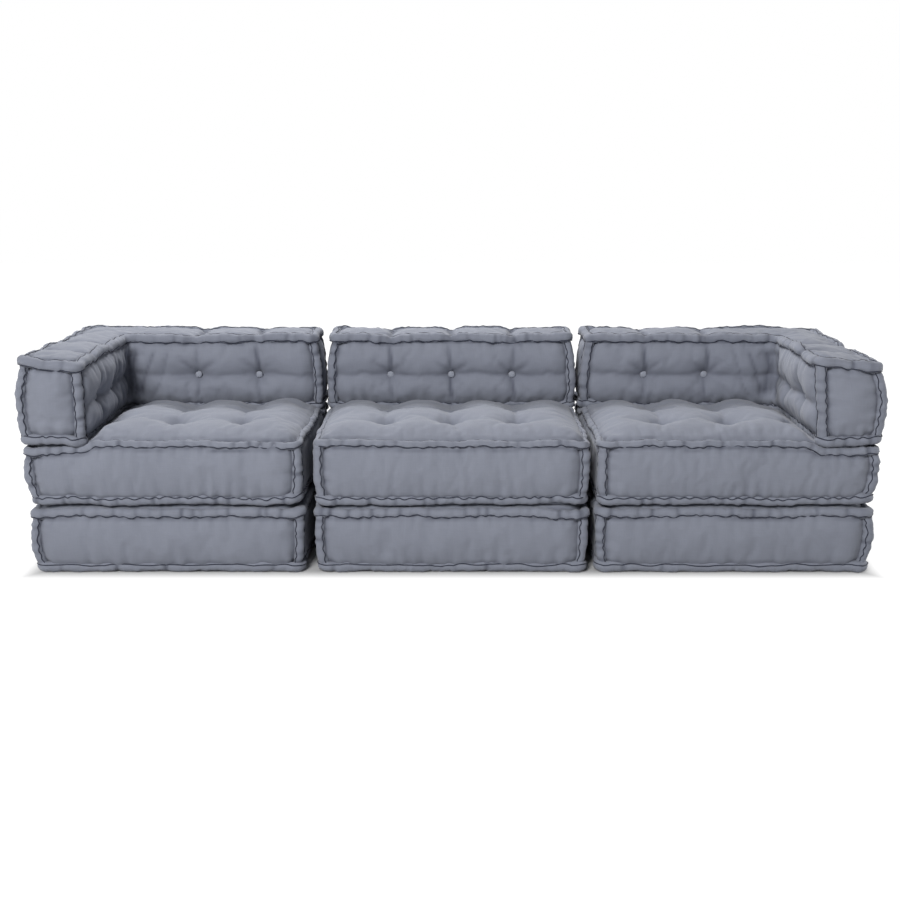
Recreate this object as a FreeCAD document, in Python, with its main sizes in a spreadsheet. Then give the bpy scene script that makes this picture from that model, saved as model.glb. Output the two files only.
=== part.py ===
# Modular floor sofa: a left corner module, a middle module and a right corner module.
# Each module is a stack of three loose cushions: a base block, a seat block and a back.
# The corner backs are L-shaped, so that one leg is the arm. Every cushion is a sewn canvas
# cover over a stuffed core, with stitched rolls along its edges, covered buttons and twine ties.
# Millimetres. +X runs to the sitter's left, +Y to the back, +Z up; z = 0 is the floor.
import FreeCAD, Part
import os

import Sketcher
from FreeCAD import Rotation, Vector

SIZES = [
    ("module_width", 720, "width of a module at its swollen mid-height"),
    ("module_depth", 600, "depth of a module at its swollen mid-height"),
    ("module_gap", 10, "free space between neighbouring modules"),
    ("base_height", 180, "base cushion, floor face to bearing face"),
    ("seat_height", 172, "seat cushion, bearing face to bearing face"),
    ("back_height", 204, "back cushion, bearing face to top face"),
    ("back_thickness", 165, "thickness of a back and of an arm"),
    ("stack_gap", 0.3, "clearance between stacked cushions"),
    ("side_swell", 8, "how far the sides swell out between their edges"),
    ("edge_draw", 28, "how far the top and bottom edges are drawn in and rounded"),
    ("inner_bend", 20, "plan radius of the inner corner of an L-shaped back"),
    ("seat_crown", 28, "rise of the sitting area above the bearing face"),
    ("back_crown", 8, "rise of a back's top above its edge"),
    ("seat_shoulder", 24, "run of the steep outer part of a seat's crown"),
    ("seat_run", 60, "run from the foot of a seat's crown to its level top"),
    ("back_shoulder", 16, "run of the steep outer part of a back's crown"),
    ("back_run", 30, "run from the foot of a back's crown to its level top"),
    ("crown_bend", 8, "plan radius at the corners of a crown's level top"),
    ("crown_margin", 6, "level strip between a crown's foot and the edge of the face"),
    ("crown_clear", 6, "free strip between a seat's crown and the back or arm beside it"),
    ("roll_radius", 14, "radius of the stitched edge rolls"),
    ("roll_inset", 2, "how far the edge rolls lie inside the swollen sides"),
    ("roll_drop", 4, "how far the edge rolls lie below a bearing face"),
    ("floor_lift", 0.5, "how far the lowest rolls clear the floor"),
    ("roll_bend", 20, "centre-line radius of the edge rolls in plan"),
    ("roll_clear", 0.6, "clearance of an edge roll in its groove"),
    ("upright_clear", 0.9, "clearance of a corner roll in its groove"),
    ("cover_thickness", 2, "canvas cover with its seams"),
    ("filling_clear", 0.6, "clearance between the cover and its filling"),
    ("tuft_pitch_x", 175, "spacing of the tufts across a module"),
    ("tuft_pitch_y", 150, "spacing of the tufts from front to back"),
    ("back_row", 92, "height of the tufts of a back above its bearing face"),
    ("seat_tuft", 34, "depth of a seat's tuft below its crown"),
    ("back_tuft", 20, "depth of a tuft below the face of a back or arm"),
    ("tuft_radius", 60, "radius over which a tuft draws the face in"),
    ("tuft_floor", 12, "radius of the flat that a button sits on"),
    ("tuft_lip", 1.5, "height at which the tuft's curve would level out"),
    ("tuft_head", 30, "height of the cutting shape above the face"),
    ("button_radius", 10, "covered button"),
    ("button_height", 6, "covered button"),
    ("button_clear", 0.2, "clearance between a button and the tuft's floor"),
    ("tie_radius", 1.5, "tufting twine"),
    ("tie_clear", 0.5, "clearance of the twine in the cover and filling"),
]

doc = FreeCAD.newDocument("floor_sofa")
sheet = doc.addObject("Spreadsheet::Sheet", "sizes")
for row, (alias, number, meaning) in enumerate(SIZES, start=1):
    sheet.set(f"A{row}", meaning)
    sheet.set(f"B{row}", str(number))
    sheet.setAlias(f"B{row}", alias)
doc.recompute()

# Expressions that several pieces share.
HALF_WIDTH = "sizes.module_width / 2"
HALF_DEPTH = "sizes.module_depth / 2"
PITCH = "(sizes.module_width + sizes.module_gap)"
CORNER_CUT = "(1 - sqrt(0.5))"
ROLL_LINE = "(sizes.roll_radius + sizes.roll_inset)"
# The covers' corners are rounded so that they pass through the middle of the upright rolls.
CORNER_BEND = f"(sizes.roll_bend + sizes.roll_radius / {CORNER_CUT})"
SEAT_LOW = "(sizes.base_height + sizes.stack_gap)"
SEAT_HIGH = f"({SEAT_LOW} + sizes.seat_height)"
BACK_LOW = f"({SEAT_HIGH} + sizes.stack_gap)"
BACK_HIGH = f"({BACK_LOW} + sizes.back_height)"
BACK_ROW = f"({BACK_LOW} + sizes.back_row)"
BACK_FACE = f"({HALF_DEPTH} - sizes.back_thickness)"
# How much each layer lies inside the cover's outer face.
OUTER = "0"
VOID = "sizes.cover_thickness"
FILLING = "(sizes.cover_thickness + sizes.filling_clear)"

CROWN_LINE = "(sizes.edge_draw + sizes.crown_margin)"
# The three columns or rows of a tuft grid, as what comes before the pitch.
STEPS = ("-", "+ 0 *", "+")

OUTWARD = {
    "+x": Rotation(Vector(0, 1, 0), 90),
    "-x": Rotation(Vector(0, 1, 0), -90),
    "+y": Rotation(Vector(1, 0, 0), -90),
    "-y": Rotation(Vector(1, 0, 0), 90),
    "+z": Rotation(),
    "-z": Rotation(Vector(1, 0, 0), 180),
}


def value(expression):
    """The number that an expression has now."""
    return float(sheet.evalExpression(expression))


def add(kind, name, **bound):
    """A new object whose properties are bound to expressions of the sheet."""
    made = doc.addObject(kind, name)
    for prop, expression in bound.items():
        made.setExpression(prop, expression)
    return made


def put(made, x, y, z, rotation=None):
    """Binds an object's place to three expressions."""
    if rotation is not None:
        made.Placement.Rotation = rotation
    for letter, expression in zip("xyz", (x, y, z)):
        made.setExpression(f"Placement.Base.{letter}", expression)
    return made


def group(name, members):
    """Separate solids under one name."""
    made = doc.addObject("Part::Compound", name)
    made.Links = members
    return made


def cut(name, base, tool):
    made = doc.addObject("Part::Cut", name)
    made.Base = base
    made.Tool = tool
    return made


def rectangle(x_low, x_high, y_low, y_high):
    """Plan corners, counter-clockwise: x, y, the way an inset moves each, and whether it turns in."""
    return [
        (x_low, y_low, "+", "+", False),
        (x_high, y_low, "-", "+", False),
        (x_high, y_high, "-", "-", False),
        (x_low, y_high, "+", "-", False),
    ]


def corner_plan(x_low, x_high, y_low, y_high):
    """The L of a left corner back: the arm along x_low, the back along y_high."""
    x_arm = f"{x_low} + sizes.back_thickness"
    y_back = f"{y_high} - sizes.back_thickness"
    return [
        (x_low, y_low, "+", "+", False),
        (x_arm, y_low, "-", "+", False),
        (x_arm, y_back, "-", "+", True),
        (x_high, y_back, "-", "+", False),
        (x_high, y_high, "-", "-", False),
        (x_low, y_high, "+", "-", False),
    ]


def outline(name, plan, inset, height, bend, inner_bend):
    """A level sketch of a plan, drawn in by an inset, with its straight runs joined by tangent arcs."""
    sketch = add("Sketcher::SketchObject", name, **{"Placement.Base.z": height})
    places = [(f"{x} {sx} ({inset})", f"{y} {sy} ({inset})") for x, y, sx, sy, _ in plan]
    points = [Vector(value(x), value(y), 0) for x, y in places]
    turns_in = [corner[4] for corner in plan]
    bends = [inner_bend if turned else bend for turned in turns_in]
    radii = [value(expression) for expression in bends]
    count = len(plan)
    runs = [(points[(i + 1) % count] - points[i]).normalize() for i in range(count)]
    for i, run in enumerate(runs):
        after = (i + 1) % count
        sketch.addGeometry(Part.LineSegment(points[i] + run * radii[i], points[after] - run * radii[after]))
    for i, turned in enumerate(turns_in):
        centre = points[i] + (runs[i] - runs[i - 1]) * radii[i]
        first, last = -runs[i], runs[i - 1]
        if turned:
            first, last = last, first
        circle = Part.Circle(centre, Vector(0, 0, 1), radii[i])
        from_angle = circle.parameter(centre + first * radii[i])
        to_angle = circle.parameter(centre + last * radii[i])
        sketch.addGeometry(Part.ArcOfCircle(circle, from_angle, to_angle))
    start, end = 1, 2
    for i, turned in enumerate(turns_in):
        arc = count + i
        arc_in, arc_out = (end, start) if turned else (start, end)
        level = abs(runs[i].y) < abs(runs[i].x)
        letter, place = ("Y", places[i][1]) if level else ("X", places[i][0])
        offset = points[i].y if level else points[i].x
        sketch.addConstraint(
            [
                Sketcher.Constraint("Horizontal" if level else "Vertical", i),
                Sketcher.Constraint("Tangent", (i - 1) % count, end, arc, arc_in),
                Sketcher.Constraint("Tangent", arc, arc_out, i, start),
            ]
        )
        at = sketch.addConstraint(Sketcher.Constraint(f"Distance{letter}", -1, 1, i, start, offset))
        sketch.setExpression(f"Constraints[{at}]", place)
        at = sketch.addConstraint(Sketcher.Constraint("Radius", arc, radii[i]))
        sketch.setExpression(f"Constraints[{at}]", bends[i])
    return sketch


def loft(name, plan, stations):
    """A solid through a plan's outlines, each given as height, inset and corner bend."""
    sections = []
    for i, (height, inset, bend) in enumerate(stations):
        sections.append(outline(f"{name}_{i}", plan, inset, height, bend, f"sizes.inner_bend + {inset}"))
    made = doc.addObject("Part::Loft", name)
    made.Sections = sections
    made.Solid = True
    return made


def edge_roll(name, plan, height, radius):
    """A roll along the whole plan, as a tube round the line that the rolls follow."""
    inner_bend = f"sizes.inner_bend + {ROLL_LINE}"
    path = outline(f"{name}_line", plan, ROLL_LINE, height, "sizes.roll_bend", inner_bend)
    x, y = plan[0][:2]
    section = add("Part::Circle", f"{name}_section", Radius=radius)
    put(section, f"{x} + {ROLL_LINE} + sizes.roll_bend", f"{y} + {ROLL_LINE}", height, OUTWARD["+x"])
    made = doc.addObject("Part::Sweep", name)
    made.Sections = [section]
    made.Spine = (path, [f"Edge{i + 1}" for i in range(2 * len(plan))])
    made.Solid = True
    return made


def upright_roll(name, corner, low, high, radius):
    """A roll up one corner. It bows out as the sides do, so it is part of a wide ring round a level axis."""
    x, y, sx, sy, _ = corner
    inset = f"(sizes.roll_radius + sizes.roll_bend * {CORNER_CUT})"
    middle = f"({low} + {high}) / 2"
    bow = "(sizes.roll_inset * sqrt(2))"
    half = f"(({high} - {low}) / 2)"
    ring = f"(({half} ^ 2 + {bow} ^ 2) / (2 * {bow}))"
    section = add("Part::Circle", f"{name}_section", Radius=radius)
    put(section, f"{x} {sx} {inset}", f"{y} {sy} {inset}", middle)
    made = doc.addObject("Part::Revolution", name)
    made.Source = section
    inward = Vector(float(f"{sx}1"), float(f"{sy}1"), 0)
    made.Axis = Vector(-inward.y, inward.x, 0)
    made.setExpression("Base.x", f"{x} {sx} ({inset} + {ring} * sqrt(0.5))")
    made.setExpression("Base.y", f"{y} {sy} ({inset} + {ring} * sqrt(0.5))")
    made.setExpression("Base.z", middle)
    made.setExpression("Angle", f"2 * asin({half} / {ring})")
    made.Symmetric = True
    made.Solid = True
    return made


def tuft_cutter(name, depth, grow):
    """What a tuft takes away: a trumpet that levels out towards its rim, round the Z axis."""
    floor = f"sizes.tuft_floor + {grow}"
    rim = f"sizes.tuft_radius + {grow}"
    bottom = f"-{depth} - {grow}"
    lip = f"sizes.tuft_lip - {grow}"
    floor_point = Vector(value(floor), value(bottom), 0)
    lip_point = Vector(value(rim), value(lip), 0)
    head = value("sizes.tuft_head")
    reach = lip_point - floor_point
    sweep = (reach.x**2 + reach.y**2) / (2 * reach.y)
    circle = Part.Circle(lip_point - Vector(0, sweep, 0), Vector(0, 0, 1), sweep)
    rim_top = Vector(lip_point.x, head, 0)
    axis_top = Vector(0, head, 0)
    axis_low = Vector(0, floor_point.y, 0)
    sketch = doc.addObject("Sketcher::SketchObject", f"{name}_profile")
    sketch.Placement.Rotation = Rotation(Vector(1, 0, 0), 90)
    sketch.addGeometry(
        [
            Part.LineSegment(axis_low, floor_point),
            Part.ArcOfCircle(circle, circle.parameter(lip_point), circle.parameter(floor_point)),
            Part.LineSegment(lip_point, rim_top),
            Part.LineSegment(rim_top, axis_top),
            Part.LineSegment(axis_top, axis_low),
        ]
    )
    start, end, middle = 1, 2, 3
    sketch.addConstraint(
        [
            Sketcher.Constraint("Coincident", 0, end, 1, end),
            Sketcher.Constraint("Coincident", 1, start, 2, start),
            Sketcher.Constraint("Coincident", 2, end, 3, start),
            Sketcher.Constraint("Coincident", 3, end, 4, start),
            Sketcher.Constraint("Coincident", 4, end, 0, start),
            Sketcher.Constraint("Horizontal", 0),
            Sketcher.Constraint("Vertical", 2),
            Sketcher.Constraint("Horizontal", 3),
            Sketcher.Constraint("Vertical", 4),
            Sketcher.Constraint("PointOnObject", 4, start, -2),
            Sketcher.Constraint("Vertical", 1, middle, 1, start),
        ]
    )
    sizes = [
        ("DistanceX", 0, end, floor),
        ("DistanceX", 2, start, rim),
        ("DistanceY", 0, end, bottom),
        ("DistanceY", 2, start, lip),
        ("DistanceY", 3, start, "sizes.tuft_head"),
    ]
    for kind, line, point, expression in sizes:
        at = sketch.addConstraint(Sketcher.Constraint(kind, -1, 1, line, point, value(expression)))
        sketch.setExpression(f"Constraints[{at}]", expression)
    made = doc.addObject("Part::Revolution", name)
    made.Source = sketch
    made.Axis = Vector(0, 0, 1)
    made.Angle = 360
    made.Solid = True
    return made


def covered_button():
    """A domed button: a slice of a ball, standing on the XY plane."""
    ball = "((sizes.button_radius ^ 2 + sizes.button_height ^ 2) / (2 * sizes.button_height))"
    slice_angle = f"asin(({ball} - sizes.button_height) / {ball})"
    made = add("Part::Sphere", "button", Radius=ball, Angle1=slice_angle)
    return put(made, "0", "0", f"sizes.button_height - {ball}")


SEAT_TUFT = "sizes.seat_tuft"
BACK_TUFT = "sizes.back_tuft"
LAYERS = {"outer": OUTER, "void": VOID, "core": FILLING}
CUTTERS = {
    (depth, grow): tuft_cutter(f"tuft_cutter_{depth[6:]}_{layer}", depth, grow)
    for depth in (SEAT_TUFT, BACK_TUFT)
    for layer, grow in LAYERS.items()
}
BUTTON = covered_button()


class Tie:
    """One length of twine and its two tufts: an axis, the place across it and the two faces it draws in."""

    def __init__(self, axis, across, low, high):
        self.axis = axis
        self.across = across
        self.low = low
        self.high = high

    def spot(self, along):
        """Three expressions for the point of this tie at a distance along its axis."""
        place = list(self.across)
        place.insert("xyz".index(self.axis), along)
        return place

    def ends(self, sink):
        """The two ends, sunk below the faces: an outward direction and a place for each."""
        low = (f"-{self.axis}", self.spot(f"{self.low} + {sink}"))
        high = (f"+{self.axis}", self.spot(f"{self.high} - ({sink})"))
        return [low, high]

    def rod(self, name, radius, sink):
        """A straight rod between the two ends."""
        length = f"{self.high} - ({self.low}) - 2 * ({sink})"
        made = add("Part::Cylinder", name, Radius=radius, Height=length)
        return put(made, *self.spot(f"{self.low} + {sink}"), OUTWARD[f"+{self.axis}"])


def copies(name, master, ties, sink):
    """A master shape at both ends of every tie."""
    links = []
    for i, tie in enumerate(ties):
        for direction, place in tie.ends(sink):
            link = doc.addObject("App::Link", f"{name}_{i}{'low' if direction[0] == '-' else 'high'}")
            link.LinkedObject = master
            link.LinkTransform = True
            links.append(put(link, *place, OUTWARD[direction]))
    return group(name, links)


class Cushion:
    """A stuffed block on a plan, between two bearing faces, with its crown and its ties."""

    def __init__(self, name, plan, low, high, ties=(), tuft=None, crown=None, low_drop="sizes.roll_drop"):
        self.name = name
        self.plan = plan
        self.low = low
        self.high = high
        self.ties = ties
        self.tuft = tuft
        self.crown = crown
        self.low_line = f"({low} + {low_drop} + sizes.roll_radius)"
        self.high_line = f"({high} - sizes.roll_drop - sizes.roll_radius)"

    def rolls(self, name, radius, upright_radius):
        """The two rolls along the edges, and the upright ones at the corners that turn out."""
        edges = [
            edge_roll(f"{name}_low", self.plan, self.low_line, radius),
            edge_roll(f"{name}_high", self.plan, self.high_line, radius),
        ]
        uprights = [
            upright_roll(f"{name}_upright_{i}", corner, self.low_line, self.high_line, upright_radius)
            for i, corner in enumerate(self.plan)
            if not corner[4]
        ]
        return group(f"{name}_edges", edges), group(f"{name}_uprights", uprights)

    def stuffed(self, name, grow):
        """The block, drawn in by grow: swollen sides, crown, grooves for the rolls and tufts."""
        levels = [
            (f"{self.low} + {grow}", f"sizes.edge_draw + {grow}"),
            (f"{self.low} + sizes.edge_draw", f"sizes.side_swell + {grow}"),
            (f"({self.low} + {self.high}) / 2", grow),
            (f"{self.high} - sizes.edge_draw", f"sizes.side_swell + {grow}"),
            (f"{self.high} - {grow}", f"sizes.edge_draw + {grow}"),
        ]
        stations = [(height, inset, f"{CORNER_BEND} - ({inset})") for height, inset in levels]
        made = loft(f"{name}_block", self.plan, stations)
        if self.crown:
            fused = doc.addObject("Part::Fuse", f"{name}_crowned")
            fused.Base = made
            fused.Tool = self.crown.rise(f"{name}_crown", self.high, grow)
            made = fused
        edge_groove = f"sizes.roll_radius + sizes.roll_clear + {grow}"
        upright_groove = f"sizes.roll_radius + sizes.upright_clear + {grow}"
        edges, uprights = self.rolls(f"{name}_groove", edge_groove, upright_groove)
        made = cut(f"{name}_edged", made, edges)
        made = cut(f"{name}_cornered", made, uprights)
        if self.ties:
            made = cut(f"{name}_tufted", made, copies(f"{name}_tufts", CUTTERS[self.tuft, grow], self.ties, "0"))
        return made

    def pieces(self):
        """Every separate piece of the cushion, by name."""
        name = self.name
        outer = self.stuffed(f"{name}_outer", OUTER)
        void = self.stuffed(f"{name}_void", VOID)
        cover = cut(f"{name}_hollow", outer, void)
        filling = self.stuffed(f"{name}_core", FILLING)
        edges, uprights = self.rolls(f"{name}_roll", "sizes.roll_radius", "sizes.roll_radius")
        grooves = doc.getObject(f"{name}_outer_groove_edges")
        made = {
            f"{name}_cover": cover,
            f"{name}_filling": filling,
            f"{name}_edge_rolls": edges,
            f"{name}_corner_rolls": cut(f"{name}_fitted", uprights, grooves),
        }
        if self.ties:
            holes = self.rods("hole", "sizes.tie_radius + sizes.tie_clear", "0")
            sink = f"{self.tuft} - sizes.button_clear"
            made[f"{name}_cover"] = cut(f"{name}_drilled_cover", cover, holes)
            made[f"{name}_filling"] = cut(f"{name}_drilled_core", filling, holes)
            made[f"{name}_buttons"] = copies(f"{name}_button_copies", BUTTON, self.ties, sink)
            made[f"{name}_tufting_ties"] = self.rods("twine", "sizes.tie_radius", sink)
        return made

    def rods(self, name, radius, sink):
        """A rod along every tie."""
        made = [tie.rod(f"{self.name}_{name}_{i}", radius, sink) for i, tie in enumerate(self.ties)]
        return group(f"{self.name}_{name}_rods", made)


class Crown:
    """The swell of a face above its bearing level, on a plan of its own."""

    def __init__(self, plan, inset, height, shoulder, run):
        self.plan = plan
        self.inset = inset
        self.height = height
        self.shoulder = shoulder
        self.run = run

    def rise(self, name, level, grow):
        """A low dome whose slope is a parabola, steep at its foot and level at its top."""
        foot = f"{level} - {grow}"
        inset = f"{self.inset} + {grow}"
        part_way = f"({self.shoulder} / {self.run})"
        stations = [
            (foot, inset, f"{CORNER_BEND} - {CROWN_LINE} - {grow}"),
            (
                f"{foot} + {self.height} * {part_way} * (2 - {part_way})",
                f"{inset} + {self.shoulder}",
                "sizes.crown_bend * 2",
            ),
            (f"{foot} + {self.height}", f"{inset} + {self.run}", "sizes.crown_bend"),
        ]
        return loft(name, self.plan, stations)


def seat_ties(centre):
    """The upright ties of a seat, three by three, drawn down from the level of its crown."""
    high = f"{SEAT_HIGH} + sizes.seat_crown"
    ties = []
    for j in STEPS:
        for i in STEPS:
            across = (f"{centre} {i} sizes.tuft_pitch_x", f"0 {j} sizes.tuft_pitch_y")
            ties.append(Tie("z", across, SEAT_LOW, high))
    return ties


def back_ties(centre, steps):
    """The level ties through a back, in one row."""
    return [Tie("y", (f"{centre} {i} sizes.tuft_pitch_x", BACK_ROW), BACK_FACE, HALF_DEPTH) for i in steps]


def arm_ties(x_low):
    """The level ties through an arm, from the front towards the back."""
    x_high = f"{x_low} + sizes.back_thickness"
    return [Tie("x", (f"0 {j} sizes.tuft_pitch_y", BACK_ROW), x_low, x_high) for j in STEPS[:2]]


def base(name, centre):
    plan = rectangle(f"{centre} - {HALF_WIDTH}", f"{centre} + {HALF_WIDTH}", f"-{HALF_DEPTH}", HALF_DEPTH)
    return Cushion(name, plan, "0", "sizes.base_height", low_drop="sizes.floor_lift")


def seat(name, centre, arm):
    """A seat block. Its crown swells up in front of the back and beside the arm, if there is one."""
    x_low = f"{centre} - {HALF_WIDTH}"
    x_high = f"{centre} + {HALF_WIDTH}"
    plan = rectangle(x_low, x_high, f"-{HALF_DEPTH}", HALF_DEPTH)
    crown_low = f"{x_low} + {CROWN_LINE}"
    if arm:
        crown_low = f"{x_low} + sizes.back_thickness + sizes.crown_clear"
    crown_plan = rectangle(
        crown_low,
        f"{x_high} - {CROWN_LINE}",
        f"-{HALF_DEPTH} + {CROWN_LINE}",
        f"{BACK_FACE} - sizes.crown_clear",
    )
    crown = Crown(crown_plan, "0", "sizes.seat_crown", "sizes.seat_shoulder", "sizes.seat_run")
    return Cushion(name, plan, SEAT_LOW, SEAT_HIGH, seat_ties(centre), SEAT_TUFT, crown)


def straight_back(name, centre):
    plan = rectangle(f"{centre} - {HALF_WIDTH}", f"{centre} + {HALF_WIDTH}", BACK_FACE, HALF_DEPTH)
    crown = Crown(plan, CROWN_LINE, "sizes.back_crown", "sizes.back_shoulder", "sizes.back_run")
    return Cushion(name, plan, BACK_LOW, BACK_HIGH, back_ties(centre, STEPS), BACK_TUFT, crown)


def corner_back(name, centre):
    x_low = f"{centre} - {HALF_WIDTH}"
    plan = corner_plan(x_low, f"{centre} + {HALF_WIDTH}", f"-{HALF_DEPTH}", HALF_DEPTH)
    crown = Crown(plan, CROWN_LINE, "sizes.back_crown", "sizes.back_shoulder", "sizes.back_run")
    ties = back_ties(centre, STEPS[1:]) + arm_ties(x_low)
    return Cushion(name, plan, BACK_LOW, BACK_HIGH, ties, BACK_TUFT, crown)


def shifted(pieces, old, new, distance):
    """The same pieces again, a distance away along X, under another module's name."""
    moved = {}
    for node, piece in pieces.items():
        link = add("App::Link", f"{new}_of_{piece.Name}", **{"Placement.Base.x": distance})
        link.LinkedObject = piece
        moved[node.replace(old, new, 1)] = link
    return moved


def mirrored(pieces, old, new):
    """The same pieces on the other side of the sofa's middle plane, under another module's name."""
    turned = {}
    for node, piece in pieces.items():
        mirror = doc.addObject("Part::Mirroring", f"{new}_of_{piece.Name}")
        mirror.Source = piece
        mirror.Normal = Vector(1, 0, 0)
        turned[node.replace(old, new, 1)] = mirror
    return turned


def sofa():
    """Every node of the sofa, by name."""
    middle_base = base("middle_base", "0").pieces()
    left_corner = seat("left_seat", f"-{PITCH}", arm=True).pieces()
    left_corner.update(corner_back("left_back", f"-{PITCH}").pieces())
    nodes = dict(middle_base)
    nodes.update(shifted(middle_base, "middle", "left", f"-{PITCH}"))
    nodes.update(shifted(middle_base, "middle", "right", PITCH))
    nodes.update(seat("middle_seat", "0", arm=False).pieces())
    nodes.update(straight_back("middle_back", "0").pieces())
    nodes.update(left_corner)
    nodes.update(mirrored(left_corner, "left", "right"))
    return nodes


def main():
    nodes = sofa()
    for node, piece in nodes.items():
        piece.Label = node
    doc.recompute()
    faults = [thing.Name for thing in doc.Objects if {"Invalid", "Error"} & set(thing.State)]
    shapes = {node: Part.getShape(piece) for node, piece in nodes.items()}
    faults += [node for node, shape in shapes.items() if shape.isNull() or not shape.isValid()]
    if faults:
        raise RuntimeError(f"these objects failed: {faults}")
    os.makedirs("parts", exist_ok=True)
    for node, shape in shapes.items():
        shape.exportStep(f"parts/{node}.step")
    print(f"{len(nodes)} nodes written")


main()
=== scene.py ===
"""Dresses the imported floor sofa: stuffed canvas cushions with stitched rolls, covered buttons and studio light.

Every piece is in metres in the CAD frame: +X along the row of modules, +Y to the backs, +Z up, z = 0 on the floor.
"""

from __future__ import annotations

import logging
import math
from dataclasses import dataclass, field
from enum import Enum

import bpy
import numpy as np
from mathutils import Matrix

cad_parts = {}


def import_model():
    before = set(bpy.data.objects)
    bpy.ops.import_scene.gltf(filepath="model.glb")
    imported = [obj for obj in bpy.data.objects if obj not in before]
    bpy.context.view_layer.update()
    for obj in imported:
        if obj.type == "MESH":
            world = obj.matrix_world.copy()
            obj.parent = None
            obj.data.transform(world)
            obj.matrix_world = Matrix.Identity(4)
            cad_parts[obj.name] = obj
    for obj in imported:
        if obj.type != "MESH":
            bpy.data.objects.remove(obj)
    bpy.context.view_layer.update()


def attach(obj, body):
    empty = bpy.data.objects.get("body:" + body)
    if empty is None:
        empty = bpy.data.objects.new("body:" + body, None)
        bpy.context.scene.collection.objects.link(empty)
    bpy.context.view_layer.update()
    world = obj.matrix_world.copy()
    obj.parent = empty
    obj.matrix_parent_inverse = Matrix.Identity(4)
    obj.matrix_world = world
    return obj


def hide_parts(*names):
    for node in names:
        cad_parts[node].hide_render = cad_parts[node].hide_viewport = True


Array = np.ndarray
Place = tuple[float, float, float]
LOG = logging.getLogger("floor_sofa")
MM = 0.001
UP = np.array([0.0, 0.0, 1.0])
ARC_POINTS = 25
ROLL_STEP = 0.004
FLOOR_STITCH, BACK_STITCH, EDGE_STITCH = 0.140, 0.046, 0.034
BUTTON_LINES = 11


class Side(Enum):
    """Where a module stands in the row, seen from the front."""

    LEFT = -1
    MIDDLE = 0
    RIGHT = 1


class Layer(Enum):
    """Which cushion of a module's stack."""

    BASE = 0
    SEAT = 1
    BACK = 2


@dataclass(frozen=True)
class SofaSizes:
    """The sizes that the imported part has, in metres, and the power of its sides' swell."""

    module_width: float = 0.720
    module_depth: float = 0.600
    module_pitch: float = 0.730
    heights: tuple[float, float, float] = (0.180, 0.172, 0.204)
    back_thickness: float = 0.165
    stack_gap: float = 0.0003
    edge_draw: float = 0.028
    corner_bend: float = 0.0678
    roll_radius: float = 0.014
    roll_line: float = 0.016
    roll_bend: float = 0.020
    inner_bend: float = 0.020
    floor_lift: float = 0.0005
    roll_drop: float = 0.004
    seat_crown: float = 0.028
    back_crown: float = 0.008
    crown_clear: float = 0.006
    tuft_pitch_x: float = 0.175
    tuft_pitch_y: float = 0.150
    back_row: float = 0.092
    seat_tuft: float = 0.034
    back_tuft: float = 0.020
    button_radius: float = 0.010
    button_height: float = 0.006
    barrel: float = 5.0

    def levels(self, layer: Layer) -> tuple[float, float]:
        """Lower and upper bearing height of a layer of the stack."""
        low = sum(self.heights[: layer.value]) + self.stack_gap * layer.value
        return low, low + self.heights[layer.value]


@dataclass(frozen=True)
class Stuffing:
    """How the cushions of one layer are stuffed, in metres.

    Attributes:
        swell: How far an outer side swells.
        middle: Share of the height at which it swells most.
        cell: Spacing of the cover's lattice.
        crumple: Depth of the crumples on top.
    """

    swell: float
    middle: float
    cell: float
    crumple: float


STUFFING = {
    Layer.BASE: Stuffing(0.011, 0.5, 0.010, 0.0010),
    Layer.SEAT: Stuffing(0.013, 0.6, 0.007, 0.0010),
    Layer.BACK: Stuffing(0.018, 0.36, 0.007, 0.0018),
}


@dataclass(frozen=True)
class Settling:
    """How the loose stack has settled, in metres.

    Attributes:
        sink: How far a back sinks into its seat.
        taper: Share of its width that a base or seat loses at its foot.
        belly: Share of the height from the fullest place to where the swell ends.
        end_draw: How far the ends of a back draw in at the top.
        end_fill: How far they swell lower down.
        back_rise: How far the top of a back is stuffed up.
        left_narrow: How far the left base and seat stay clear of their neighbour in front.
        meet: How far bases and seats reach to their neighbour further back.
        meet_start: Where that begins, before the middle.
        meet_run: The length over which it begins.
        arm_run: The length over which an arm's front comes up.
        left_rear: Rise of the left arm at its rear.
        left_front: Further rise at its front.
        right_inner: Rise of the right arm's inner edge in front.
        right_outer: Drop of its outer edge.
        right_lean: How far it leans in.
    """

    sink: float = 0.009
    taper: float = 0.020
    belly: float = 0.62
    end_draw: float = 0.012
    end_fill: float = 0.004
    back_rise: float = 0.005
    left_narrow: float = 0.008
    meet: float = 0.001
    meet_start: float = 0.16
    meet_run: float = 0.14
    arm_run: float = 0.30
    left_rear: float = 0.002
    left_front: float = 0.012
    right_inner: float = 0.015
    right_outer: float = 0.008
    right_lean: float = 0.024


SETTLING = Settling()


@dataclass(frozen=True)
class Relief:
    """Depths of the unevenness of covers and rolls, in metres.

    Attributes:
        pinch: How far a stitch pinches a roll.
        wrinkle: Fine wrinkles of a roll.
        ear: How far a roll juts out at a corner.
        groove: Groove in the cover along a roll.
        wave: How far the cover waves along the stitches.
        drawn: How far a pinch draws the cover in.
        side_crumple: Crumples of the sides.
        recess: How far a side that faces a neighbour stays back in front.
        pillow: Swell of each half of a tufted face.
        level_fold: Fold between the halves.
        hollow: Hollow of an inner corner.
        valley: Folds across the top of a back or arm.
    """

    pinch: float = 0.0042
    wrinkle: float = 0.0006
    ear: float = 0.005
    groove: float = 0.0022
    wave: float = 0.0012
    drawn: float = 0.0020
    side_crumple: float = 0.0008
    recess: float = 0.006
    pillow: float = 0.006
    level_fold: float = 0.0075
    hollow: float = 0.016
    valley: float = 0.017


RELIEF = Relief()


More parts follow.
